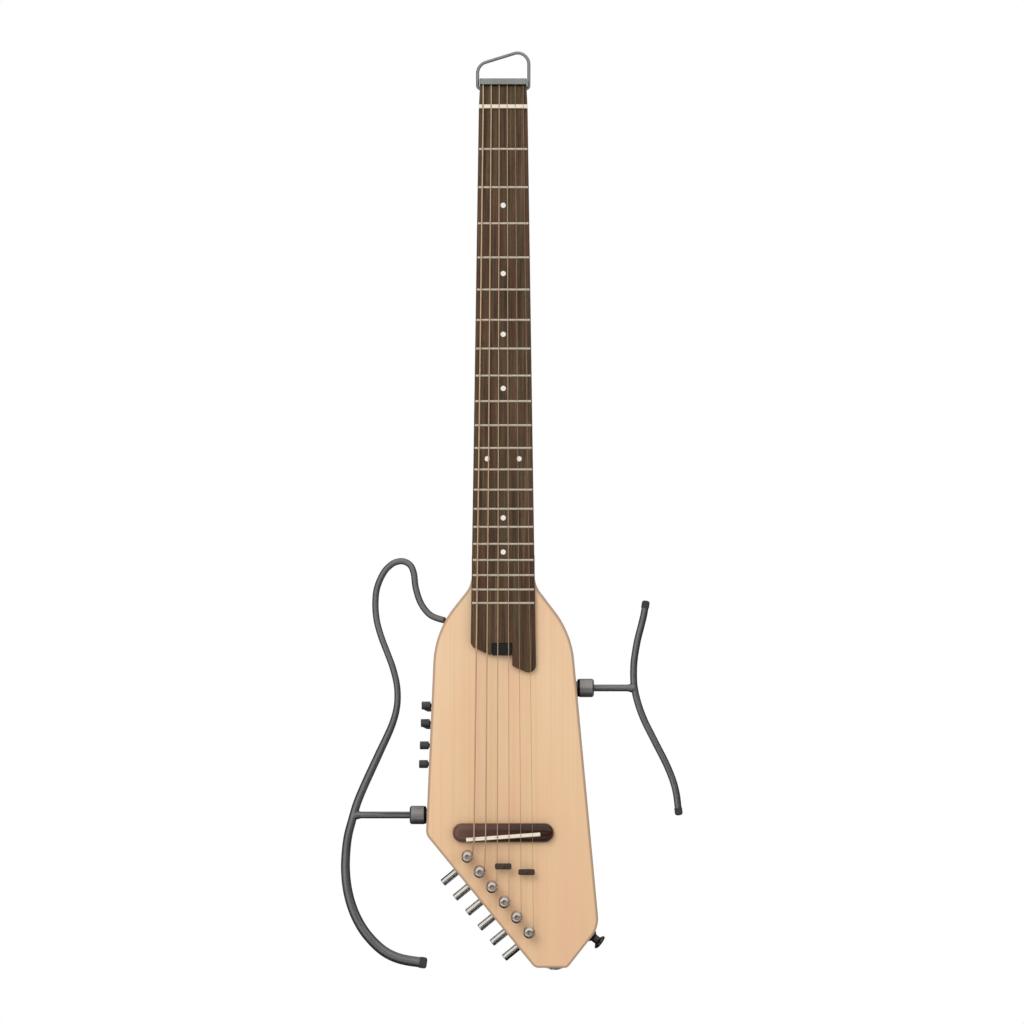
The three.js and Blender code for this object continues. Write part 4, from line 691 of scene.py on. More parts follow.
def arch_top(target, step=2.5):
    """Slices a board lengthwise and bends its face to the camber."""
    form = bmesh.new()
    form.from_mesh(target.data)
    reach = BOARD_END_WIDTH / 2
    for k in range(int(2 * reach / step)):
        everything = form.verts[:] + form.edges[:] + form.faces[:]
        plane = at((-reach + step * (k + 0.5), 0, 0))
        bmesh.ops.bisect_plane(form, geom=everything, plane_co=plane, plane_no=RIGHT)
    for vertex in form.verts:
        x, y, _ = (vertex.co - ORIGIN) / MM
        if y < -BOARD_THICKNESS / 2:
            vertex.co.y += (board_top(x) + BOARD_THICKNESS) * MM
    form.to_mesh(target.data)
    form.free()


def make_fingerboard():
    slot_y = (-BOARD_THICKNESS - 3, -BOARD_THICKNESS + NUT_SLOT)
    slot = box(about(0, HEAD_WIDTH), slot_y, wider((0, NUT_THICKNESS), SEAT))
    board = slab(board_outline(), -BOARD_THICKNESS, -SEAT, (BOARD_EDGE, 0), 3)
    made = piece("rosewood_fingerboard", board, ROSEWOOD, replaces="fingerboard", cuts=(slot,))
    arch_top(made)
    shade(made)
    for fret in range(1, FRETS + 1):
        piece(f"fret_wire_{fret}", fret_wire(fret_z(fret)), FRET_METAL)
    for name, x, z in dot_places():
        top = board_top(x)
        dot = bar(DOT_RADIUS, top - 0.06, top + 1, Vector((x, 0, z)), BACKWARD, 32, 0.04)
        piece(name, dot, PEARL)


def dot_places():
    """Position dots: name, x and z, one in the middle of each marked space and two at the octave."""
    places = []
    for fret in MARKED_FRETS:
        z = (fret_z(fret - 1) + fret_z(fret)) / 2
        sides = {"_left": -DOT_SPREAD, "_right": DOT_SPREAD} if fret == OCTAVE else {"": 0}
        places += [(f"position_dot_{fret}{side}", x, z) for side, x in sides.items()]
    return places


def fret_wire(z, width=2, height=1.1, inset_by=0.8, steps=14):
    """A fret's crown over the camber, with its ends dressed to a slope."""
    half = board_half(z) - inset_by
    arc = [math.pi * j / 8 for j in range(9)]
    rings = []
    for k in range(steps + 1):
        x = half * (2 * k / steps - 1)
        top, foot = board_top(x), board_top(x) + 0.4
        dressed = min(1, 0.35 + (half - abs(x)) / 1.5)
        ring = [(x, top - height * dressed * math.sin(a), z + width / 2 * math.cos(a)) for a in arc]
        ring += [(x, foot, z - 0.3), (x, foot, z + 0.3)]
        rings.append([Vector(p) for p in ring])
    return skinned(rings)


def make_nut():
    base = -BOARD_THICKNESS + NUT_SLOT - SEAT
    top = base - NUT_HEIGHT
    half = board_half(0)
    corners = [(base, 0, 0), (top, 0, 0.5), (top + NUT_SLOPE, NUT_THICKNESS, 1.2), (base, NUT_THICKNESS, 0)]
    body = slab(filleted(corners), -half, half, (0.5, 0.5), 3, lambda a, b, depth: Vector((depth, a, b)))
    slots = []
    for i, size in enumerate(STRING_SIZES):
        x = string_share(i) * NUT_SPREAD
        reach = size / 2 + 0.05
        slots.append(bar(reach, -2, NUT_THICKNESS + 2, Vector((x, -NUT_STRING_HEIGHT, 0)), UP, 16))
        slots.append(box(about(x, reach), (top - 2, -NUT_STRING_HEIGHT), (-2, NUT_THICKNESS + 2)))
    piece("bone_nut", body, BONE, replaces="nut", cuts=slots)


SADDLE_IN_BODY = 215.5
BODY_START = SCALE - SADDLE_IN_BODY
BODY_LENGTH = 337.5
BODY_LEFT, BODY_RIGHT = 68.2, 84.6
BODY_DEPTH = 40
TOP_THICKNESS = 3
NECK_FILLET = 26
NECK_DEPTH_NUT, NECK_DEPTH_HEEL = 14.5, 17
HEEL_LENGTH, HEEL_SWEEP = 46, 2.6
ROD_HALF, ROD_CHANNEL = 3, 11
TENON_WIDTH, TENON_LENGTH, TENON_DEPTH = 46, 50, 16


def neck_ring(z, depth, square=0, facets=36):
    """A neck section from the board's edge to edge: half-round, or squared up towards the body's block."""
    fullness, width = mixed(0.75, 0.3, square), mixed(1, 0.42, square)
    ring = []
    for k in range(facets + 1):
        angle = math.pi * k / facets
        bulge = depth * math.sin(angle) ** fullness if 0 < k < facets else 0
        reach = board_half(z) * math.copysign(abs(math.cos(angle)) ** width, math.cos(angle))
        ring.append(Vector((reach, bulge, z)))
    return ring


def make_neck(sections=14, heel_steps=16):
    end = -(BODY_START - NECK_FILLET) + SEAT
    heel = end + HEEL_LENGTH
    rings = []
    for i in range(sections + 1):
        share = i / sections
        depth = mixed(NECK_DEPTH_NUT, NECK_DEPTH_HEEL, share)
        rings.append(neck_ring(mixed(HEAD_LENGTH, heel, share), depth))
    for i in range(1, heel_steps + 1):
        share = i / heel_steps
        depth = mixed(NECK_DEPTH_HEEL, BODY_DEPTH, share**HEEL_SWEEP)
        rings.append(neck_ring(mixed(heel, end, share), depth, share**3))
    tenon_z = (end - SEAT - TENON_LENGTH, end + 2)
    front = TOP_THICKNESS + SEAT
    tenon = box(about(0, TENON_WIDTH / 2), (front, front + TENON_DEPTH), tenon_z)
    channel = box(about(0, ROD_HALF + SEAT), (-2, ROD_CHANNEL), (tenon_z[0] - 2, NUT_THICKNESS))
    room = LOOP_WIRE / 2 + SEAT
    cuts = [channel]
    for side in (-1, 1):
        x = sorted((side * (LOOP_HALF + 2), side * (LOOP_HALF - LOOP_FOOT - SEAT)))
        cuts.append(box(x, about(LOOP_DEPTH, room), (LOOP_FOOT_Z - room, HEAD_LENGTH + 2)))
    piece("mahogany_neck", skinned(rings), MAHOGANY, replaces="neck", adds=(tenon,), cuts=cuts)


# Head plate and hanging loop

LOOP_WIRE = 2.8
LOOP_HALF = 22.6
LOOP_LEFT_HEIGHT = 39.7
LOOP_SLOPE = 0.309
LOOP_BEND = 10
LOOP_FOOT = 7
LOOP_DEPTH = 4
LOOP_FOOT_Z = HEAD_LENGTH - LOOP_WIRE / 2 - 0.4
PLATE_BOTTOM = HEAD_LENGTH + SEAT
PLATE_TOP = PLATE_BOTTOM + 5.3
PLATE_WIDTH, PLATE_FRONT, PLATE_BACK = 41.6, -10.8, NECK_DEPTH_NUT
PLATE_SCREWS, PLATE_SCREW_DEPTH = (-12, 0, 12), 6.5
BALL_SEAT = 1.3
BALL_BOTTOM = PLATE_BOTTOM + BALL_SEAT + SEAT
BALL_RADIUS, BALL_LENGTH = 1.9, 3.4


def make_loop():
    foot = LOOP_HALF - LOOP_FOOT
    right_height = LOOP_LEFT_HEIGHT + 2 * LOOP_HALF * LOOP_SLOPE
    corners = [
        (-foot, LOOP_FOOT_Z, 0),
        (-LOOP_HALF, LOOP_FOOT_Z, LOOP_WIRE),
        (-LOOP_HALF, LOOP_LEFT_HEIGHT, LOOP_BEND),
        (LOOP_HALF, right_height, LOOP_BEND),
        (LOOP_HALF, LOOP_FOOT_Z, LOOP_WIRE),
        (foot, LOOP_FOOT_Z, 0),
    ]
    path = [Vector((p.x, LOOP_DEPTH, p.y)) for p in filleted(corners, closed=False)]
    piece("wire_hanging_loop", swept(path, LOOP_WIRE / 2, 20), BAR_STEEL, replaces="hanging_loop")


def lying(a, b, depth):
    """Puts an outline of x and y in a plane square to the neck, at a height."""
    return Vector((a, b, depth))


def screw(name, place, axis, radius, finish, proud=0.5):
    """A domed screw head with a cross recess, seated at a place and facing along an axis."""
    corners = [(-1.2, 0, 0), (-1.2, radius * 0.7, 0), (0, radius, 0.15)]
    corners += [(proud, radius * 0.5, 0.8), (proud, 0, 0)]
    head = lathed(corners, place, axis, 32)
    first, second = across(axis)
    wing = rectangle(about(0, radius * 0.62), about(0, radius * 0.12))
    cuts = []
    for along, beside in (first, second), (second, first):
        def laid(a, b, depth, along=along, beside=beside):
            return place + along * a + beside * b + axis * depth
        cuts.append(slab(wing, proud - 0.7, proud + 1, place=laid))
    piece(name, head, finish, cuts=cuts)


def make_head_plate():
    outline = rectangle(about(0, PLATE_WIDTH / 2), (PLATE_FRONT, PLATE_BACK), 1.5)
    plate = slab(outline, PLATE_BOTTOM, PLATE_TOP, (0.4, 0.6), 3, lying)
    cuts = []
    for i, size in enumerate(STRING_SIZES):
        place = Vector((string_share(i) * NUT_SPREAD, -NUT_STRING_HEIGHT, 0))
        cuts.append(bar(size / 2 + 0.15, PLATE_BOTTOM - 2, PLATE_TOP, place, UP, 16))
        cuts.append(bar(BALL_RADIUS + 0.2, PLATE_BOTTOM + BALL_SEAT, PLATE_TOP + 2, place, UP, 24))
    seats = [Vector((x, PLATE_SCREW_DEPTH, PLATE_TOP)) for x in PLATE_SCREWS]
    cuts += [bar(2.3, -1.5, 1, seat, UP, 24) for seat in seats]
    piece("slotted_head_plate", plate, BAR_STEEL, replaces="head_plate", cuts=cuts)
    for number, seat in enumerate(seats, 1):
        screw(f"head_plate_screw_{number}", seat - UP * 0.3, UP, 2.2, STEEL, 0.2)


# Body

# The body's corners as side, share of that half's width, share of the length and rounding by the length.
CORNERS = [
    (-1, 0.887, 0.122, 0.249),
    (-1, 1, 0.652, 0.031),
    (1, 0.329, 1, 0.021),
    (1, 0.67, 1, 0.016),
    (1, 1, 0.8945, 0.078),
    (1, 0.714, 0.127, 0.24),
]


def body_drop(share):
    return BODY_START + share * BODY_LENGTH


def corner_place(k, depth):
    """A corner of the body's outline, before its rounding."""
    return Vector((BODY_CORNERS[k][0], depth, BODY_CORNERS[k][1]))


BODY_CORNERS = [
    (side * across_share * (BODY_LEFT if side < 0 else BODY_RIGHT), -body_drop(down), bend * BODY_LENGTH)
    for side, across_share, down, bend in CORNERS
]
NECK_JOINT = board_half(-BODY_START)
BODY_OUTLINE = filleted(
    [(-NECK_JOINT, -BODY_START, NECK_FILLET), *BODY_CORNERS, (NECK_JOINT, -BODY_START, NECK_FILLET)]
    + [(NECK_JOINT, -BODY_START + NECK_FILLET, 0), (-NECK_JOINT, -BODY_START + NECK_FILLET, 0)],
    step=math.radians(2.5),
)
EDGE_TOP, EDGE_BOTTOM = corner_place(1, 0), corner_place(2, 0)
ALONG = (EDGE_BOTTOM - EDGE_TOP).normalized()
OUT = Vector((ALONG.z, 0, -ALONG.x))
POST_PITCH, POST_INSET, ROW_MIDDLE = 17.2, 16.7, 0.53
FIRST_POST = (EDGE_BOTTOM - EDGE_TOP).length * ROW_MIDDLE - 2.5 * POST_PITCH
LEDGE = 14
POST_HOLE = 4.5
RECESS_OUT, RECESS_ALONG = (-15.5, POST_INSET + 8), (-8.7, 5 * POST_PITCH + 11.7)
RECESS_CORNER = 2.5
NUT_ROOM_HALF, NUT_ROOM_DEPTH = 4, 11.2
GLUE_LINE = 0.05
BACK_THICKNESS, TOP_ROUNDING, BACK_ROUNDING = 3, 2.9, 1.6
ROD_DEPTH = 20


def side_x(side, z):
    """The x of the body's straight left or right side at a height."""
    upper, lower = (BODY_CORNERS[0], BODY_CORNERS[1]) if side < 0 else (BODY_CORNERS[5], BODY_CORNERS[4])
    return mixed(upper[0], lower[0], (z - upper[1]) / (lower[1] - upper[1]))


def from_post(i, along=0, out=0, depth=0):
    """A place by distances from tuner i's post, along the slanted edge and out across it."""
    place = EDGE_TOP + ALONG * (FIRST_POST + i * POST_PITCH + along) + OUT * (out - POST_INSET)
    return Vector((place.x, depth, place.z))


def tuner_plane(i):
    """Puts an outline of outward and along distances beside tuner i's post."""
    return lambda a, b, depth: from_post(i, b, a, depth)


CAVITY_X, CAVITY_DROP, CAVITY_SHARE = (-58, 40), 0.2963, 0.2133
CAVITY_Z = (-body_drop(CAVITY_DROP) - CAVITY_SHARE * BODY_LENGTH, -body_drop(CAVITY_DROP))
CAVITY_CORNER, CAVITY_FLOOR, COVER_LAP, COVER_CORNER = 4, 8, 5, 6
COVER_X, COVER_Z = wider(CAVITY_X, COVER_LAP), wider(CAVITY_Z, COVER_LAP)
KNOB_Z = [-body_drop(share) for share in (0.3173, 0.3633, 0.4219, 0.4711)]
PANEL_MARGIN = 8
PANEL_Z = wider((min(KNOB_Z), max(KNOB_Z)), PANEL_MARGIN)
PANEL_HALF, PANEL_THICKNESS = 9, 1.6
LAP_ROD_Z, ARM_ROD_Z = -body_drop(0.605), -body_drop(0.2711)
SOCKET_RADIUS, SOCKET_NOSE, SOCKET_LENGTH = 5.9, 8.5, 25
JACK_X, STRAP_SHARE = 45.6, 0.75
JACK = Vector((JACK_X, ROD_DEPTH, -BODY_START - BODY_LENGTH))
FLANK_LOW, FLANK_HIGH = corner_place(3, ROD_DEPTH), corner_place(4, ROD_DEPTH)
STRAP_SEAT = FLANK_LOW.lerp(FLANK_HIGH, STRAP_SHARE)
STRAP_OUT = Vector((FLANK_HIGH.z - FLANK_LOW.z, 0, FLANK_LOW.x - FLANK_HIGH.x)).normalized()


def on_side(side, z):
    """A place in the middle of the body's left or right side, at a height."""
    return Vector((side_x(side, z), ROD_DEPTH, z))


def socket_place(side):
    """The middle of a socket's mouth: the lap frame's on the left, the arm frame's on the right."""
    return on_side(side, LAP_ROD_Z if side < 0 else ARM_ROD_Z)


def panel_outline(margin, outside, inside):
    low, high = wider(PANEL_Z, margin)
    corners = [(low, -outside), (low, inside), (high, inside), (high, -outside)]
    return [Vector((side_x(-1, z) + shift, z)) for z, shift in corners]


def post_holes():
    return [bar(POST_HOLE, -2, LEDGE + 2, from_post(i), BACKWARD, 32) for i in range(6)]


def tuner_recess():
    """The room behind the row of tuners, open to the back and to the slanted edge."""
    edge = rectangle(RECESS_OUT, RECESS_ALONG, RECESS_CORNER)
    return slab(edge, LEDGE, BODY_DEPTH + 2, place=tuner_plane(0))


def make_soundboard():
    """The top, with a window under the rod's cover that leads to the rod's nut."""
    window_x = (STEP_X - COVER_WIDTH + 1, STEP_X - 1.6)
    window = box(window_x, (-2, 4), (COVER_TOP - COVER_LENGTH + 1, COVER_TOP - 1))
    top = slab(BODY_OUTLINE, 0, TOP_THICKNESS, (TOP_ROUNDING, 0), 8)
    piece("spruce_soundboard", top, SPRUCE, replaces="soundboard", cuts=[*post_holes(), window])


def make_core():
    """The middle board, with the rooms for the neck, the tuners, the electronics and what the sides hold."""
    tenon_z = (-(BODY_START - NECK_FILLET) - TENON_LENGTH - SEAT, -(BODY_START - NECK_FILLET) + 2)
    tenon_y = (TOP_THICKNESS + 0.1, TOP_THICKNESS + TENON_DEPTH + 2 * SEAT)
    tenon = box(about(0, TENON_WIDTH / 2 + SEAT), tenon_y, tenon_z)
    nut_y = (TOP_THICKNESS, NUT_ROOM_DEPTH)
    nut_room = box(about(0, NUT_ROOM_HALF), nut_y, (COVER_TOP - COVER_LENGTH, tenon_z[0] + 2))
    core = slab(BODY_OUTLINE, TOP_THICKNESS + GLUE_LINE, BODY_DEPTH - BACK_THICKNESS)
    cavity = slab(rectangle(CAVITY_X, CAVITY_Z, CAVITY_CORNER), CAVITY_FLOOR, BODY_DEPTH + 2)
    panel = slab(panel_outline(0.1, 4, PANEL_THICKNESS), *about(ROD_DEPTH, PANEL_HALF + 0.1))
    deep, wide = -SOCKET_LENGTH - SEAT, SOCKET_RADIUS + 0.1
    sockets = [bar(wide, deep, 8, socket_place(side), RIGHT * side, 40) for side in (-1, 1)]
    shafts = [bar(1.9, -4, 14, on_side(-1, z), RIGHT, 24) for z in KNOB_Z]
    pin = bar(LAP_PIN_RADIUS + 0.4, *about(0, LAP_PIN_LENGTH + 0.4), LAP_PIN, RIGHT, 24)
    jack = [bar(JACK_SHELL + 0.2, 4, 22.4, JACK, UP, 40), bar(JACK_BARREL + 0.2, -2, 6, JACK, UP, 40)]
    strap = bar(2, -18.4, 8, STRAP_SEAT, STRAP_OUT, 24)
    cuts = [*post_holes(), tuner_recess(), tenon, nut_room, cavity, panel]
    cuts += [*sockets, *shafts, pin, *jack, strap]
    piece("mahogany_core", core, MAHOGANY, replaces="body_core", cuts=cuts)


def make_back():
    back = slab(BODY_OUTLINE, BODY_DEPTH - BACK_THICKNESS + GLUE_LINE, BODY_DEPTH, (0, BACK_ROUNDING), 6)
    opening = slab(rectangle(COVER_X, COVER_Z, COVER_CORNER), BODY_DEPTH - 6, BODY_DEPTH + 4)
    piece("mahogany_back", back, MAHOGANY, replaces="back", cuts=[tuner_recess(), opening])


# Back cover, battery door and the electronics

COVER_FRONT = BODY_DEPTH - 2.7
COVER_SCREW_INSET = 4.2
BATTERY_X, BATTERY_LENGTH = (10.5, 37), 48.5
BATTERY_TOP = CAVITY_Z[1] - (CAVITY_SHARE * BODY_LENGTH - BATTERY_LENGTH) / 2
DOOR_MARGIN, DOOR_GAP = 2, 0.4
DOOR_X = wider(BATTERY_X, DOOR_MARGIN)
DOOR_Z = wider((BATTERY_TOP - BATTERY_LENGTH, BATTERY_TOP), DOOR_MARGIN)
HINGE_RADIUS = 1.3
HINGE = Vector((0, COVER_FRONT + (BODY_DEPTH - COVER_FRONT) / 2, DOOR_Z[1] - HINGE_RADIUS))


def make_cover():
    edge = rectangle(wider(COVER_X, -SEAT), wider(COVER_Z, -SEAT), COVER_CORNER - SEAT)
    plate = slab(edge, COVER_FRONT, BODY_DEPTH, (0, 0.4), 3)
    opening = rectangle(wider(DOOR_X, DOOR_GAP), wider(DOOR_Z, DOOR_GAP), 1)
    doorway = slab(opening, COVER_FRONT - 2, BODY_DEPTH + 2)
    pins = bar(1, *wider(DOOR_X, 2.6), HINGE, RIGHT, 20)
    left, right = wider(COVER_X, -COVER_SCREW_INSET)
    xs, zs = (left, (COVER_X[0] + DOOR_X[0]) / 2, right), wider(COVER_Z, -COVER_SCREW_INSET)
    seats = [Vector((x, BODY_DEPTH, z)) for x in xs for z in zs]
    wells = [bar(2.35, -1.2, 2, seat, BACKWARD, 32) for seat in seats]
    piece("cavity_cover", plate, BLACK, replaces="back_cover", cuts=[doorway, pins, *wells])
    for number, seat in enumerate(seats, 1):
        screw(f"cover_screw_{number}", seat - BACKWARD * 0.5, BACKWARD, 2.1, STEEL, 0.4)


def make_door():
    flap_z = (DOOR_Z[0], DOOR_Z[1] - HINGE_RADIUS)
    flap = slab(rectangle(DOOR_X, flap_z, 0.8), COVER_FRONT, BODY_DEPTH, (0, 0.4), 3)
    barrel = bar(HINGE_RADIUS, *DOOR_X, HINGE, RIGHT, 32)
    pin = bar(0.7, *wider(DOOR_X, 1.8), HINGE, RIGHT, 20)
    middle = sum(DOOR_X) / 2
    grip_z = (DOOR_Z[0] + 1.5, DOOR_Z[0] + 4.5)
    grip = slab(rectangle(about(middle, 4.5), grip_z, 1.4), BODY_DEPTH - 1.7, BODY_DEPTH + 2)
    groove_x, groove_y = about(middle, 9), (BODY_DEPTH - 0.7, BODY_DEPTH + 1)
    grooves = [box(groove_x, groove_y, (DOOR_Z[0] + z, DOOR_Z[0] + z + 0.8)) for z in (7, 8.6, 10.2)]
    body, cuts = "battery_door", [grip, *grooves]
    piece("battery_flap", flap, BLACK, body, body, cuts=cuts, adds=[barrel, pin])


def make_panel():
    plate = slab(panel_outline(0, 0, PANEL_THICKNESS - SEAT), *about(ROD_DEPTH, PANEL_HALF))
    holes = [bar(2.2, -2, 4, on_side(-1, z), RIGHT, 24) for z in KNOB_Z]
    piece("side_panel", plate, BLACK, replaces="control_panel", cuts=holes, soft=True)


def make_knob(i):
    z = KNOB_Z[i]
    place = on_side(-1, z)
    outer, inner, radius = -9.2, -0.6, 3.6
    wing, tip, thickness = 5.4, 3, 1.1
    corners = [(inner, 0, 0), (inner, 2.2, 0), (-1.2, 2.2, 0.2), (-1.3, radius, 0.3)]
    corners += [(outer, radius, 0.6), (outer + 0.15, radius - 1.5, 0.5), (outer + 0.25, 0, 0)]
    cap = lathed(corners, place, RIGHT, 96, ribs=32, rib_depth=0.13)
    adds = [bar(1.5, outer / 2, CAVITY_X[0] + 9.2 - place.x, place, RIGHT, 20)]
    # The upper two have a wing under the cap.
    if i < 2:
        x0 = place.x + inner
        wedge = filleted([
            (x0, z, 0),
            (x0, z - wing, 0.5),
            (x0 - 3.2, z - wing, 0.8),
            (place.x + outer + 0.6, z - tip, 0.6),
            (place.x + outer + 0.6, z, 0),
        ])
        adds.append(slab(wedge, *about(ROD_DEPTH, thickness), (0.3, 0.3), 2))
    body = f"control_knob_{i + 1}"
    piece(f"side_control_{i + 1}", cap, GLOSS_BLACK, body, body, adds=adds)


# Bridge, saddle, guides

SADDLE_ANGLE = math.radians(4.2)
SADDLE_Z, BRIDGE_Z = -SCALE - 5.5, -SCALE - 2.5
SADDLE_LENGTH, SADDLE_THICKNESS = 65.4, 3.2
BRIDGE_LENGTH, BRIDGE_WIDTH, BRIDGE_HEIGHT = 89.2, 16.8, 7.6
BRIDGE_CORNER, BRIDGE_ROUNDING, SLOT_FLOOR = 8.2, 5.4, 5 - BRIDGE_HEIGHT
GUIDE_PAIRS = [(2, 3), (4, 5)]
GUIDE_DROPS = (26, 31)
GUIDE_CLEARANCE, GUIDE_THICKNESS, GUIDE_LENGTH, GUIDE_WIDTH = 5.4, 3, 14.6, 5.2


def saddle_z(x):
    return SADDLE_Z + x * math.tan(SADDLE_ANGLE)


def saddle_plane(a, b, depth):
    """Puts an outline of length and thickness along the slanted saddle."""
    cos, sin = math.cos(SADDLE_ANGLE), math.sin(SADDLE_ANGLE)
    return Vector((a * cos - b * sin, depth, SADDLE_Z + a * sin + b * cos))


def make_bridge():
    outline = rectangle(about(0, BRIDGE_LENGTH / 2), about(BRIDGE_Z, BRIDGE_WIDTH / 2), BRIDGE_CORNER)
    block = slab(outline, -BRIDGE_HEIGHT, -GLUE_LINE, (BRIDGE_ROUNDING, 0), 12)
    room = rectangle(about(0, SADDLE_LENGTH / 2 + 0.1), about(0, SADDLE_THICKNESS / 2 + 0.1), 0.6)
    slot = slab(room, -BRIDGE_HEIGHT - 2, SLOT_FLOOR, place=saddle_plane)
    piece("bridge_block", block, BRIDGE_WOOD, replaces="bridge", cuts=(slot,))


def make_saddle():
    crown = -SADDLE_STRING_HEIGHT + max(STRING_SIZES) / 2 + 0.15
    strip = rectangle(about(0, SADDLE_LENGTH / 2), about(0, SADDLE_THICKNESS / 2), 0.5)
    bone = slab(strip, crown, SLOT_FLOOR - 1.8, (1.1, 0), 4, saddle_plane)
    notches = []
    for i, size in enumerate(STRING_SIZES):
        x = string_share(i) * SADDLE_SPREAD
        place = Vector((x, -SADDLE_STRING_HEIGHT, saddle_z(x)))
        notches.append(bar(size / 2 + 0.1, -4, 4, place, UP, 16))
    piece("bone_saddle", bone, SADDLE_PAINTED_LIGHT_BONE, replaces="saddle", cuts=notches)


def guide_place(pair):
    first, second = GUIDE_PAIRS[pair]
    x = (string_share(first) + string_share(second)) / 2 * SADDLE_SPREAD
    return Vector((x, 0, SADDLE_Z - GUIDE_DROPS[pair]))


def make_guide(pair):
    place = guide_place(pair)
    front = -GUIDE_CLEARANCE - GUIDE_THICKNESS
    edge = rectangle(about(place.x, GUIDE_LENGTH / 2), about(place.z, GUIDE_WIDTH / 2), 1.6)
    form = slab(edge, front, -GUIDE_CLEARANCE, (0.7, 0.7), 4)
    leg = bar(1.8, front + 1.5, -GLUE_LINE, place, BACKWARD, 24)
    piece(f"guide_bar_{pair + 1}", form, GUIDE_STEEL, replaces=f"string_guide_{pair + 1}", adds=(leg,))
    screw(f"guide_screw_{pair + 1}", place + BACKWARD * front, -BACKWARD, 1.7, GUIDE_STEEL, 0.3)


# Tuners

GEAR_TEETH, WORM_PITCH = 14, 2
WHEEL_RADIUS = GEAR_TEETH * WORM_PITCH / (2 * math.pi)
WORM_RADIUS = 1.6
GEAR_DISTANCE = WHEEL_RADIUS + WORM_RADIUS
ADDENDUM, DEDENDUM, WHEEL_HALF = 0.5, 0.62, 1.2
WORM_SHARPNESS = 2.6
HOUSING_FRONT = LEDGE + SEAT
HOUSING_BACK, LUG_BACK = HOUSING_FRONT + 11, HOUSING_FRONT + 2
HOUSING_OUT, HOUSING_ALONG, LUG_OUT, LUG_SCREW = (-9, 11.5), (-6.7, 9.7), (-14, -6.5), -11.5
WHEEL_DEPTH = (HOUSING_FRONT + HOUSING_BACK) / 2
POST_WAIST, POST_WAIST_HEIGHT, POST_HEAD, POST_HEAD_HEIGHT = 3.3, 6, 5.2, 4
POST_TOP = -(1 + SEAT + 0.9 + POST_WAIST_HEIGHT + POST_HEAD_HEIGHT)
SLEEVE_RADIUS, WASHER_RADIUS, KEY_SHAFT, KEY_RADIUS = 4.3, 5.1, 1.2, 3.55


def worm_place(i):
    return from_post(i, GEAR_DISTANCE, 0, WHEEL_DEPTH)


def gear_form(i):
    """The post's toothed wheel, with a gap facing the worm."""
    centre = from_post(i)
    outline = []
    for tooth in range(GEAR_TEETH):
        for share, reach in ((-0.12, -DEDENDUM), (0.12, -DEDENDUM), (0.38, ADDENDUM), (0.62, ADDENDUM)):
            angle = math.atan2(ALONG.z, ALONG.x) + 2 * math.pi * (tooth + share) / GEAR_TEETH
            radius = WHEEL_RADIUS + reach
            outline.append(Vector((centre.x + radius * math.cos(angle), centre.z + radius * math.sin(angle))))
    return slab(outline, *about(WHEEL_DEPTH, WHEEL_HALF))


def worm_form(i, turns=2.5, facets=20, rings_per_turn=16):
    """The key's worm: a thread wound round its shaft."""
    centre = worm_place(i)
    to_wheel = -ALONG
    beside = OUT.cross(to_wheel)
    count = int(turns * rings_per_turn)
    rings = []
    for ring in range(count + 1):
        along = turns * WORM_PITCH * (ring / count - 0.5)
        points = []
        for k in range(facets):
            angle = 2 * math.pi * k / facets
            crest = (0.5 + 0.5 * math.cos(2 * math.pi * along / WORM_PITCH - angle)) ** WORM_SHARPNESS
            reach = WORM_RADIUS - DEDENDUM + (DEDENDUM + ADDENDUM) * crest
            way = to_wheel * math.cos(angle) + beside * math.sin(angle)
            points.append(centre + OUT * along + way * reach)
        rings.append(points)
    return skinned(rings)


def make_post(i):
    place = from_post(i)
    head, waist = POST_TOP + POST_HEAD_HEIGHT, POST_TOP + POST_HEAD_HEIGHT + POST_WAIST_HEIGHT
    corners = [(POST_TOP + 1.5, 0, 0), (POST_TOP + 1.5, 1.3, 0.4), (POST_TOP, 2.2, 0.5)]
    corners += [(POST_TOP + 0.6, 4, 1.2), (POST_TOP + 2, POST_HEAD, 0.9), (head - 0.5, POST_HEAD, 0.5)]
    corners += [(head, 4.7, 0.3), (head + 0.7, POST_WAIST, 0.5), (waist - 0.6, POST_WAIST, 0.5)]
    corners += [(waist, 4.4, 0.2), (waist + 0.9, 4.4, 0.2), (waist + 0.9, 3, 0), (WHEEL_DEPTH + 2.4, 3, 0.3)]
    corners += [(WHEEL_DEPTH + 2.4, 0, 0)]
    form = lathed(corners, place, BACKWARD, 56, 10)
    slot = box(about(place.x, 8), about(POST_TOP, 2), about(place.z, 0.7))
    well = bar(1.2, -2, 4.2, place + BACKWARD * POST_TOP, BACKWARD, 24)
    body = f"tuner_post_{i + 1}"
    piece(f"string_post_{i + 1}", form, POST_NICKEL, body, body, cuts=(slot, well), adds=(gear_form(i),))


def make_key(i):
    place = worm_place(i)
    start, end, radius = 16, 33.6, KEY_RADIUS
    corners = [(start, 0, 0), (start, radius - 1, 0.3), (start + 1.2, radius - 1, 0.2)]
    corners += [(start + 1.7, radius, 0.4), (end - 0.1, radius, 0.8), (end, radius - 1.6, 0.6), (end, 0, 0)]
    button = lathed(corners, place, OUT, 64, 12)
    shaft = bar(KEY_SHAFT, 2, start + 1, place, OUT, 24)
    stub = bar(KEY_SHAFT, -3.2, -2, place, OUT, 24)
    body = f"tuner_key_{i + 1}"
    piece(f"key_button_{i + 1}", button, NICKEL, body, body, adds=(shaft, worm_form(i), stub))


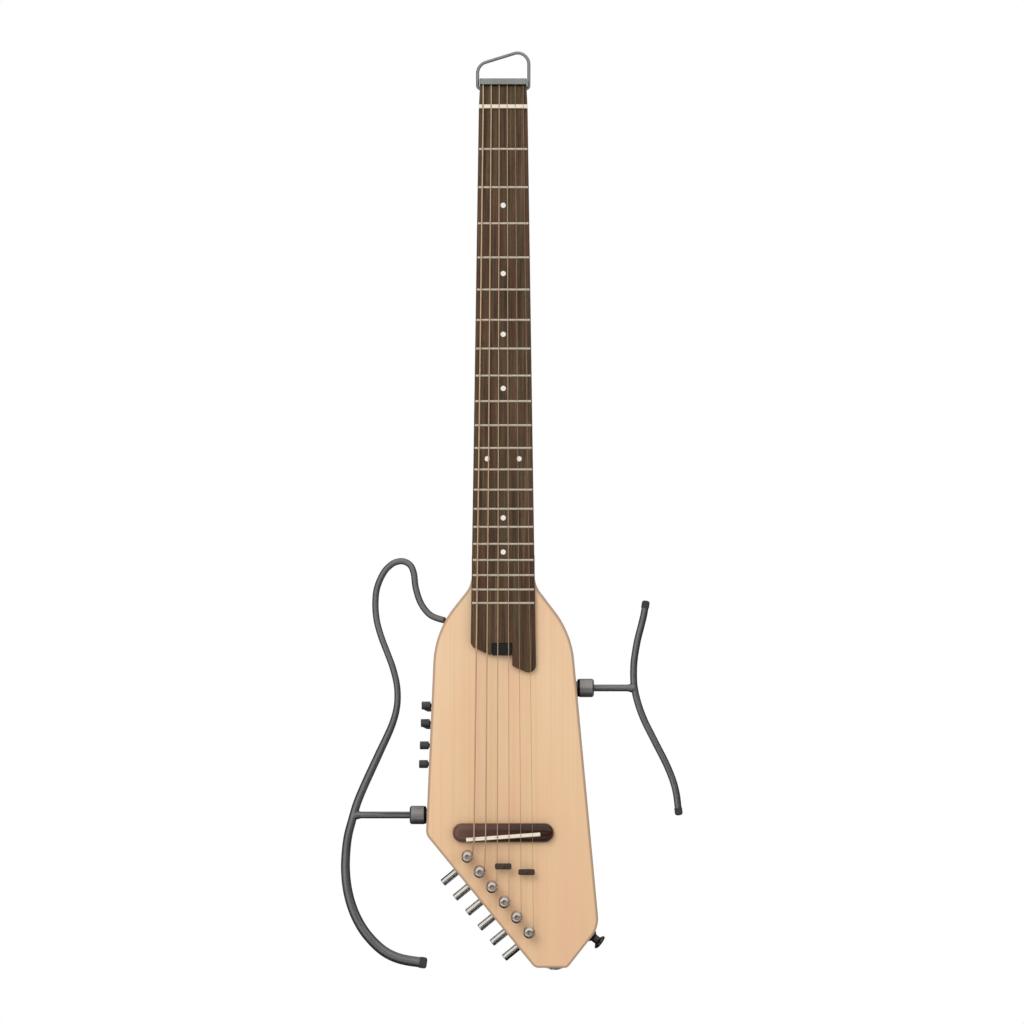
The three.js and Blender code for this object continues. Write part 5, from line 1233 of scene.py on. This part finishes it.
def make_housing(i):
    post, worm, plane = from_post(i), worm_place(i), tuner_plane(i)
    edge, lug_edge = rectangle(HOUSING_OUT, HOUSING_ALONG, 2.5), rectangle(LUG_OUT, about(0, 2.5), 2.3)
    shell = slab(edge, HOUSING_FRONT, HOUSING_BACK, (0, 1.2), 4, plane)
    lug = slab(lug_edge, HOUSING_FRONT, LUG_BACK, (0, 0.3), 2, plane)
    sleeve = bar(SLEEVE_RADIUS, -1.1, LUG_BACK, post, BACKWARD, 32)
    corners = [(-1.3, 0, 0), (-1.3, WASHER_RADIUS - 0.4, 0.1), (-0.9, WASHER_RADIUS, 0.3)]
    corners += [(-0.3, WASHER_RADIUS, 0), (-0.3, 0, 0)]
    washer = lathed(corners, post, BACKWARD, 40)
    bushing = bar(2.6, 11, 13.2, worm, OUT, 24, 0.4)
    room = bar(WHEEL_RADIUS + ADDENDUM + 0.4, WHEEL_DEPTH - 1.6, WHEEL_DEPTH + 2.8, post, BACKWARD, 32)
    bore = bar(3.4, -4, WHEEL_DEPTH, post, BACKWARD, 32)
    worm_room = bar(2.5, -4.5, 4.5, worm, OUT, 24)
    shaft_bore = bar(1.6, 0, 15, worm, OUT, 24)
    adds, cuts = (lug, sleeve, washer, bushing), (room, bore, worm_room, shaft_bore)
    piece(f"gear_housing_{i + 1}", shell, NICKEL, replaces=f"tuner_housing_{i + 1}", adds=adds, cuts=cuts)
    screw(f"housing_screw_{i + 1}", from_post(i, 0, LUG_SCREW, LUG_BACK), BACKWARD, 1.9, STEEL)


# Strings

STRING_TURNS = [1, 1, 1.5, 1.5, 1.5, 1.5]
WINDING_START, TURN_GAP, GUIDE_SHARE = -5.8, 0.5, 0.45


def string_path(i, steps=36):
    size = STRING_SIZES[i]
    share = string_share(i)
    nut_x, saddle_x = share * NUT_SPREAD, share * SADDLE_SPREAD
    post = from_post(i)
    winding = POST_WAIST + SEAT + size / 2
    half = SADDLE_THICKNESS / 2
    path = [
        Vector((nut_x, -NUT_STRING_HEIGHT, BALL_BOTTOM + SEAT)),
        Vector((nut_x, -NUT_STRING_HEIGHT, NUT_THICKNESS)),
        Vector((nut_x, -NUT_STRING_HEIGHT, 0)),
        Vector((saddle_x, -SADDLE_STRING_HEIGHT, saddle_z(saddle_x) + half)),
        Vector((saddle_x, -SADDLE_STRING_HEIGHT, saddle_z(saddle_x) - half)),
    ]
    for pair, names in enumerate(GUIDE_PAIRS):
        if i in names:
            x = mixed(saddle_x, post.x + winding, GUIDE_SHARE)
            z = guide_place(pair).z
            for side in (1, -1):
                path.append(Vector((x, -GUIDE_CLEARANCE + SEAT + size / 2, z + side * GUIDE_WIDTH / 2)))
    for step in range(round(STRING_TURNS[i] * steps) + 1):
        turn = 2 * math.pi * step / steps
        depth = WINDING_START + (size + TURN_GAP) * turn / (2 * math.pi)
        path.append(Vector((post.x + winding * math.cos(turn), depth, post.z - winding * math.sin(turn))))
    return path


def make_string(i):
    kind, finish = ("wound", BRONZE) if i < WOUND else ("plain", PLAIN_WIRE)
    path = string_path(i)
    place, top = Vector((path[0].x, path[0].y, 0)), BALL_BOTTOM + BALL_LENGTH
    corners = [(BALL_BOTTOM, 0, 0), (BALL_BOTTOM, BALL_RADIUS, 0.4)]
    corners += [(BALL_BOTTOM + 1.7, BALL_RADIUS - 0.6, 0.5), (top, BALL_RADIUS, 0.4), (top, 0, 0)]
    ball = lathed(corners, place, UP, 32)
    wire = swept(path, STRING_SIZES[i] / 2, 12)
    piece(f"{kind}_string_{i + 1}", wire, finish, replaces=f"string_{i + 1}", angle=60)
    piece(f"ball_end_{i + 1}", ball, BRASS)


# Frames, sockets and collars

ROD_RADIUS, SPIGOT_RADIUS, FLANGE_RADIUS = 3.05, 3, 5.4
SPIGOT_LENGTH, FLANGE_THICKNESS, KEY_HALF = 20, 2.5, 1
# Each tube's middle line, as shares of its reach out from the guitar and of its height downward.
LAP_TABLE = [
    (0, 0.147), (0.05, 0.144), (0.151, 0.133), (0.239, 0.106), (0.294, 0.066), (0.316, 0.027),
    (0.351, 0.009), (0.422, 0), (0.503, 0.003), (0.553, 0.011), (0.612, 0.027), (0.682, 0.066),
    (0.699, 0.106), (0.686, 0.146), (0.643, 0.186), (0.582, 0.226), (0.524, 0.265), (0.485, 0.305),
    (0.476, 0.335), (0.485, 0.365), (0.529, 0.405), (0.673, 0.484), (0.821, 0.564), (0.886, 0.604),
    (0.932, 0.643), (0.974, 0.683), (0.994, 0.723), (1, 0.763), (0.988, 0.803), (0.956, 0.842),
    (0.898, 0.882), (0.805, 0.922), (0.673, 0.958), (0.573, 0.976), (0.472, 0.987), (0.371, 0.993),
    (0.26, 0.997),
]
ARM_TABLE = [
    (0.251, 0.026), (0.229, 0.054), (0.165, 0.11), (0.096, 0.166), (0.045, 0.222), (0.009, 0.278),
    (0, 0.335), (0.012, 0.388), (0.069, 0.447), (0.151, 0.503), (0.26, 0.559), (0.393, 0.615),
    (0.528, 0.671), (0.666, 0.727), (0.788, 0.783), (0.887, 0.839), (0.952, 0.895), (0.987, 0.955),
]
LAP_INNER, LAP_WIDTH, LAP_TOP, LAP_HEIGHT = 51.7, 88.3, -body_drop(-0.0619), 1.0569 * BODY_LENGTH
ARM_INNER, ARM_WIDTH, ARM_TOP, ARM_HEIGHT = 115.6, 40, -body_drop(0.0474), 0.563 * BODY_LENGTH
ARM_TUBE, LAP_TUBE, LAP_STEP, LAP_SWELL, LAP_TUBE_AT_ROD = 3.1, 2.85, 0.75, 1, 3.6
LAP_PIN_RADIUS, LAP_PIN_LENGTH, SHOULDER_GAP = 1.9, 11, 0.4
CAP_INSIDE = 5
LAP_PIN = Vector((-LAP_INNER, ROD_DEPTH, LAP_TOP - LAP_TABLE[0][1] * LAP_HEIGHT))


def smooth_path(points, count, finer=24):
    """A centripetal curve through points, in even steps."""
    ends = [points[0] * 2 - points[1], *points, points[-1] * 2 - points[-2]]
    fine = []
    for a, b, c, d in zip(ends, ends[1:], ends[2:], ends[3:]):
        t1 = (b - a).length ** 0.5
        t2 = t1 + (c - b).length ** 0.5
        t3 = t2 + (d - c).length ** 0.5
        for k in range(finer):
            t = mixed(t1, t2, k / finer)
            ab, bc = mixed(a, b, t / t1), mixed(b, c, (t - t1) / (t2 - t1))
            cd = mixed(c, d, (t - t2) / (t3 - t2))
            abc, bcd = mixed(ab, bc, t / t2), mixed(bc, cd, (t - t1) / (t3 - t1))
            fine.append(mixed(abc, bcd, (t - t1) / (t2 - t1)))
    fine.append(points[-1])
    lengths = [0]
    for a, b in zip(fine, fine[1:]):
        lengths.append(lengths[-1] + (b - a).length)
    even, k = [], 0
    for step in range(count + 1):
        target = lengths[-1] * step / count
        while k < len(fine) - 2 and lengths[k + 1] < target:
            k += 1
        even.append(mixed(fine[k], fine[k + 1], (target - lengths[k]) / (lengths[k + 1] - lengths[k])))
    return even


def frame_path(side, table, inner, width, top, height, count):
    points = [Vector((side * (inner + out * width), ROD_DEPTH, top - down * height)) for out, down in table]
    return smooth_path(points, count)


def longer(path, length):
    """A path with a straight piece added at its end."""
    return path + [path[-1] + (path[-1] - path[-2]).normalized() * length]


def smoothstep(share, start, end):
    t = min(1, max(0, (share - start) / (end - start)))
    return t * t * (3 - 2 * t)


def lap_radius(share):
    """The lap tube's radius, which grows along it in two steps."""
    step = LAP_STEP * smoothstep(share, 0.4, 0.58)
    return LAP_TUBE + step + LAP_SWELL * smoothstep(share, 0.58, 0.97)


def crossing_x(path, z):
    """The x at which a path first crosses a height."""
    for a, b in zip(path, path[1:]):
        if (a.z - z) * (b.z - z) <= 0:
            return mixed(a.x, b.x, (z - a.z) / (b.z - a.z))


def rod_forms(side, tube_x, tube_radius):
    """The rod, its weld at the tube, the flange, the spigot and its key."""
    place, axis = socket_place(side), RIGHT * side
    reach = abs(tube_x - place.x)
    flange = SOCKET_NOSE + SEAT
    heel = reach - tube_radius
    weld = [(heel - 3, 0), (heel - 3, ROD_RADIUS - 0.05), (heel + 0.1, ROD_RADIUS + 0.9)]
    weld += [(reach, ROD_RADIUS + 0.9), (reach, 0)]
    root = flange - SPIGOT_LENGTH
    key_x = sorted((place.x + side * root, place.x + side * (flange - 6)))
    return [
        turned(weld, place, axis, 40),
        bar(ROD_RADIUS, flange, reach, place, axis, 40),
        bar(FLANGE_RADIUS, flange, flange + FLANGE_THICKNESS, place, axis, 40, 0.4),
        bar(SPIGOT_RADIUS, root, flange + 1, place, axis, 40, 0.5),
        box(key_x, about(ROD_DEPTH, KEY_HALF), (place.z, place.z + SPIGOT_RADIUS + 1.3)),
    ]


def make_lap_frame():
    path = longer(frame_path(-1, LAP_TABLE, LAP_INNER, LAP_WIDTH, LAP_TOP, LAP_HEIGHT, 220), CAP_INSIDE)
    radii = [lap_radius(i / (len(path) - 1)) for i in range(len(path))]
    tube_x = crossing_x(path, LAP_ROD_Z)
    pin = bar(LAP_PIN_RADIUS, -LAP_PIN_RADIUS, LAP_PIN_LENGTH, LAP_PIN, RIGHT, 24, 0.3)
    body = "lap_frame"
    made = piece("lap_tube", swept(path, radii, 28), TUBE_STEEL, body, body)
    # The upper end is trimmed to the body's shoulder, with a gap left between them.
    carve(made, [slab(inset(BODY_OUTLINE, -SHOULDER_GAP), -40, 80)])
    carve(made, [pin, *rod_forms(-1, tube_x, LAP_TUBE_AT_ROD)], "UNION")
    shade(made, 40)
    end_cap("lap_tube_cap", path, radii[-1], body, "lap_frame_cap")


def make_arm_frame():
    path = frame_path(1, ARM_TABLE, ARM_INNER, ARM_WIDTH, ARM_TOP, ARM_HEIGHT, 120)
    path = longer(longer(path, CAP_INSIDE)[::-1], CAP_INSIDE)[::-1]
    tube_x = crossing_x(path, ARM_ROD_Z)
    body = "arm_frame"
    adds = rod_forms(1, tube_x, ARM_TUBE)
    piece("arm_tube", swept(path, ARM_TUBE, 28), TUBE_STEEL, body, body, adds=adds)
    end_cap("arm_tube_lower_cap", path, ARM_TUBE, body, "arm_frame_lower_cap")
    end_cap("arm_tube_upper_cap", path[::-1], ARM_TUBE, body, "arm_frame_upper_cap")


def end_cap(name, path, radius, body, node):
    """A rubber cup over the last stretch of a tube."""
    axis = (path[-1] - path[-2]).normalized()
    inner, outer = radius + 0.05, radius + 0.4
    corners = [(0.05, 0, 0), (0.05, inner, 0), (0.3 - CAP_INSIDE, inner, 0), (0.3 - CAP_INSIDE, outer, 0.3)]
    corners += [(2, outer, 2.2), (2, 0, 0)]
    piece(name, lathed(corners, path[-1], axis, 40), RUBBER, body, node)


def make_socket(name, side, node):
    place, axis = socket_place(side), RIGHT * side
    corners = [(-SOCKET_LENGTH, 0), (-SOCKET_LENGTH, SOCKET_RADIUS), (0.6, SOCKET_RADIUS)]
    for ring in range(8):
        start = 1 + ring * 0.9
        corners += [(start, SOCKET_RADIUS), (start + 0.45, SOCKET_RADIUS - 0.4)]
    corners += [(SOCKET_NOSE - 0.4, SOCKET_RADIUS), (SOCKET_NOSE, SOCKET_RADIUS - 0.4), (SOCKET_NOSE, 0)]
    bore = bar(SPIGOT_RADIUS + 0.4, -SOCKET_LENGTH + 2.5, SOCKET_NOSE + 2, place, axis, 40)
    x = sorted((place.x + side * (-SOCKET_LENGTH + 2.5), place.x + side * (SOCKET_NOSE + 2)))
    key = box(x, about(ROD_DEPTH, KEY_HALF + 0.4), (place.z, place.z + SPIGOT_RADIUS + 1.7))
    piece(name, turned(corners, place, axis, 48), TUBE_STEEL, replaces=node, cuts=(bore, key), angle=30)


def make_collar(name, side, body):
    """A screwed ring with a fine ribbed grip, a chamfered outer end and a near-black rim by the body, which
    is painted shade where the ring meets the body.
    """
    place, axis = socket_place(side), RIGHT * side
    start, end, radius, rim, chamfer = 0.8, 15.4, 8.2, 1.9, 1.4
    wide, narrow, shoulder = SOCKET_RADIUS + 0.4, ROD_RADIUS + 0.4, 11.4
    corners = [(start, wide, 0), (start, radius - 0.5, 0.3), (start + rim, radius - 0.3, 0)]
    corners += [(start + rim, wide, 0), (start, wide, 0)]
    # The near-black rim is painted shade where the collar meets the body.
    piece(f"{name}_rim", lathed(corners, place, axis, 72), SHADE_PAINTED_STEEL, body)
    start += rim
    corners = [(start, wide, 0), (start, radius - 0.2, 0.1), (start + 0.3, radius, 0.1)]
    corners += [(end - chamfer, radius, 0.2), (end, radius - chamfer, 0.2), (end, narrow, 0)]
    corners += [(shoulder, narrow, 0), (shoulder, wide, 0), (start, wide, 0)]
    piece(name, lathed(corners, place, axis, 96, 10, 32, 0.12), COLLAR_STEEL, body, body)


# Output jack and strap button

JACK_BORE, JACK_BARREL, JACK_SHELL, JACK_NUT = 3.25, 4.7, 8, 7.2


def make_jack():
    corners = [(-3.6, JACK_BORE, 0), (-3.6, JACK_BARREL, 0.5), (4.6, JACK_BARREL, 0), (4.6, JACK_BORE, 0)]
    corners += [(-3.6, JACK_BORE, 0)]
    piece("jack_barrel", lathed(corners, JACK, UP, 48), NICKEL)
    angles = [math.pi * k / 3 for k in range(6)]
    hexagon = [Vector((JACK_NUT * math.cos(a), JACK_NUT * math.sin(a))) for a in angles]
    nut = slab(hexagon, -2.7, -0.3, (0.3, 0), 2, lambda a, b, depth: JACK + Vector((a, b, depth)))
    bore = bar(JACK_BARREL + 0.05, -4, 4, JACK, UP, 40)
    piece("jack_nut", nut, NICKEL, cuts=(bore,))
    profile = [(4.3, JACK_BORE), (4.3, JACK_SHELL), (22, JACK_SHELL), (22, 0), (20, 0), (20, JACK_BORE)]
    shell = turned(profile + profile[:1], JACK, UP, 48)
    piece("jack_shell", shell, NICKEL, replaces="output_jack")


def make_strap_button():
    base, height, waist, rim = 0.3, 11.8, 3.6, 6.6
    corners = [(-18, 0, 0), (-16.2, 1.8, 0.4), (base, 1.8, 0), (base, 5.6, 0.3), (base + 1.5, 5.5, 0.6)]
    corners += [(base + 3.2, waist, 1.2), (height - 4.2, waist, 1.2)]
    corners += [(height - 2.7, rim, 0.5), (height - 1, rim, 0.9)]
    corners += [(height, 5, 0.8), (height - 0.6, 2.6, 0.3), (height - 0.6, 0, 0)]
    form = lathed(corners, STRAP_SEAT, STRAP_OUT, 56, 10)
    piece("strap_peg", form, GLOSS_BLACK, replaces="strap_button")


def make_truss_cover():
    right = STEP_X - SEAT
    z = (COVER_TOP - SEAT - COVER_LENGTH, COVER_TOP - SEAT)
    plate = slab(rectangle((right - COVER_WIDTH, right), z, 1.2), -BOARD_THICKNESS, -SEAT, (0.6, 0), 4)
    piece("rod_cover_plate", plate, BLACK, replaces="truss_rod_cover")


def dress_kept_nodes():
    """Gives the CAD nodes that stay their materials and softened edges."""
    kept = {
        "truss_rod": STEEL,
        "truss_rod_nut": STEEL,
        "saddle_pickup": BRASS,
        "battery": SLEEVE,
        "circuit_card": LAMINATE,
    }
    for name, (material, _) in kept.items():
        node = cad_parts[name]
        for slot in node.material_slots:
            slot.material = material
        soften(node)


# Floor, light and camera

CAMERA_PLACE = Vector((-4.86, -3010, -403.61)) * MM
LENS, SENSOR, SIGHT = 119.92, 36, 20
FLOOR_DROP, FLOOR_RADIUS, FLOOR_GLOW = 0.35, 1.9, 0.7
ROOM_LIGHT = 0.5
# The lamps: place from the guitar's middle, width in metres and power in watts.
LAMPS = {
    "key": ((-1.15, -2.3, 1.4), 2.2, 44),
    "fill": ((1.9, -1.6, 0.4), 1.4, 9),
    "rim": ((0.4, 2.2, 1.4), 1.4, 20),
}


def white_floor():
    """White paper: it shows plain white with a soft shadow, and it fades out towards its rim."""
    material, tree, local = new_material("white_floor")
    paint = add(tree, "ShaderNodeBsdfPrincipled", {"Base Color": "f4f4f4", "Roughness": 0.9})
    white = add(tree, "ShaderNodeEmission", {"Strength": 1})
    # A part of the light is given off by the floor itself, so that it shows white but keeps the shadow.
    lit = add(tree, "ShaderNodeMixShader", {"Fac": FLOOR_GLOW}, {1: paint, 2: white})
    shown = add(tree, "ShaderNodeMixShader", links={"Fac": background_rays(tree), 1: paint, 2: lit})
    distance = add(tree, "ShaderNodeVectorMath", {"operation": "LENGTH"}, {"Vector": local})
    reach = {"From Min": FLOOR_RADIUS * 0.45, "From Max": FLOOR_RADIUS * 0.98}
    fade = add(tree, "ShaderNodeMapRange", reach, {"Value": distance.outputs["Value"]})
    under = add(tree, "ShaderNodeNewGeometry").outputs["Backfacing"]
    away = add(tree, "ShaderNodeMath", {"operation": "MAXIMUM"}, {0: fade, 1: under})
    clear = add(tree, "ShaderNodeBsdfTransparent")
    surface = add(tree, "ShaderNodeMixShader", links={"Fac": away, 1: shown, 2: clear})
    add(tree, "ShaderNodeOutputMaterial", links={"Surface": surface})
    return material


def make_floor():
    mesh = bpy.data.meshes.new("floor")
    form = bmesh.new()
    bmesh.ops.create_circle(form, cap_ends=True, segments=96, radius=FLOOR_RADIUS)
    form.to_mesh(mesh)
    form.free()
    floor = in_scene("floor", mesh)
    floor.location = (MIDDLE.x, MIDDLE.y, CAD_BOX[0].z - FLOOR_DROP)
    mesh.materials.append(white_floor())


def background_rays(tree):
    """One for the rays that see the background itself: the camera's, mirrored and refracted ones."""
    path = add(tree, "ShaderNodeLightPath").outputs
    camera_or_mirror = {0: path["Is Camera Ray"], 1: path["Is Glossy Ray"]}
    first = add(tree, "ShaderNodeMath", {"operation": "MAXIMUM"}, camera_or_mirror)
    return add(tree, "ShaderNodeMath", {"operation": "MAXIMUM"}, {0: first, 1: path["Is Transmission Ray"]})


def make_world():
    world = bpy.data.worlds.new("studio")
    world.use_nodes = True
    tree = world.node_tree
    tree.nodes.clear()
    light = {"To Min": ROOM_LIGHT, "To Max": 1}
    level = add(tree, "ShaderNodeMapRange", light, {"Value": background_rays(tree)})
    sky = add(tree, "ShaderNodeBackground", {"Color": (1, 1, 1, 1)}, {"Strength": level})
    add(tree, "ShaderNodeOutputWorld", links={"Surface": sky})
    bpy.context.scene.world = world


def make_lamp(name, offset, size, power):
    data = bpy.data.lights.new(name, "AREA")
    data.shape = "DISK"
    data.size = size
    data.energy = power
    made = in_scene(name, data)
    made.location = MIDDLE + Vector(offset)
    made.rotation_euler = (MIDDLE - made.location).to_track_quat("-Z", "Y").to_euler()
    # Metal mirrors the white room and the black cards, and not the lamps, which would burn out on it.
    made.visible_glossy = False


def black_card():
    """Matt black card, which gives mirrored rays nothing."""
    material, tree, _ = new_material("black_card")
    matt = {"Base Color": "101010", "Roughness": 1, "Specular IOR Level": 0}
    paint = add(tree, "ShaderNodeBsdfPrincipled", matt)
    add(tree, "ShaderNodeOutputMaterial", links={"Surface": paint})
    return material


def make_flags():
    """Black studio cards beside, below and in front of the guitar, which only mirrored rays see: they give
    the round metal its dark edges, as in the photograph."""
    material = black_card()
    left, right = MIDDLE.x - 1.2, MIDDLE.x + 1.2
    front, near, back = MIDDLE.y - 0.4, MIDDLE.y + 0.5, MIDDLE.y + 1.5
    low, lowest = -1.1, -1.12
    corners = {
        "left": [(left, front, low), (left, back, low), (left, back, 0.9), (left, front, 0.9)],
        "right": [(right, front, low), (right, back, low), (right, back, 0.7), (right, front, 0.7)],
        "strip": [(0.12, -1.3, lowest), (0.28, -1.3, lowest), (0.28, front, lowest), (0.12, front, lowest)],
        "under": [(left, front, low), (right, front, low), (right, near, low), (left, near, low)],
        "front": [
            (-0.15, -1.3, -0.6),
            (1.3, -1.2, -0.35),
            (1.7, 0.2, -0.6),
            (0.6, 0.2, -2.4),
            (-0.35, -1.2, -1.7),
        ],
    }
    for name, points in corners.items():
        mesh = bpy.data.meshes.new(f"{name}_card")
        mesh.from_pydata(points, [], [tuple(range(len(points)))])
        mesh.materials.append(material)
        card = in_scene(f"{name}_card", mesh)
        card.visible_camera = card.visible_diffuse = card.visible_shadow = False
        card.visible_transmission = card.visible_volume_scatter = False


def make_camera():
    data = bpy.data.cameras.new("front")
    data.lens = LENS
    data.sensor_width = SENSOR
    data.clip_end = SIGHT
    camera = in_scene("front", data)
    camera.location = CAMERA_PLACE
    camera.rotation_euler = (math.pi / 2, 0, 0)
    bpy.context.scene.camera = camera


make_camera()
make_floor()
make_world()
for lamp, settings in LAMPS.items():
    make_lamp(lamp, *settings)
make_flags()
bpy.context.scene.view_settings.view_transform = "Standard"

make_soundboard()
make_core()
make_back()
make_neck()
make_fingerboard()
make_nut()
make_truss_cover()
make_head_plate()
make_loop()
make_bridge()
make_saddle()
make_cover()
make_door()
make_panel()
for number in range(4):
    make_knob(number)
for number in range(2):
    make_guide(number)
for number in range(6):
    make_housing(number)
    make_key(number)
    make_post(number)
    make_string(number)
make_socket("lap_socket_sleeve", -1, "lap_socket")
make_socket("arm_socket_sleeve", 1, "arm_socket")
make_lap_frame()
make_arm_frame()
make_collar("lap_ring", -1, "lap_collar")
make_collar("arm_ring", 1, "arm_collar")
make_jack()
make_strap_button()
dress_kept_nodes()
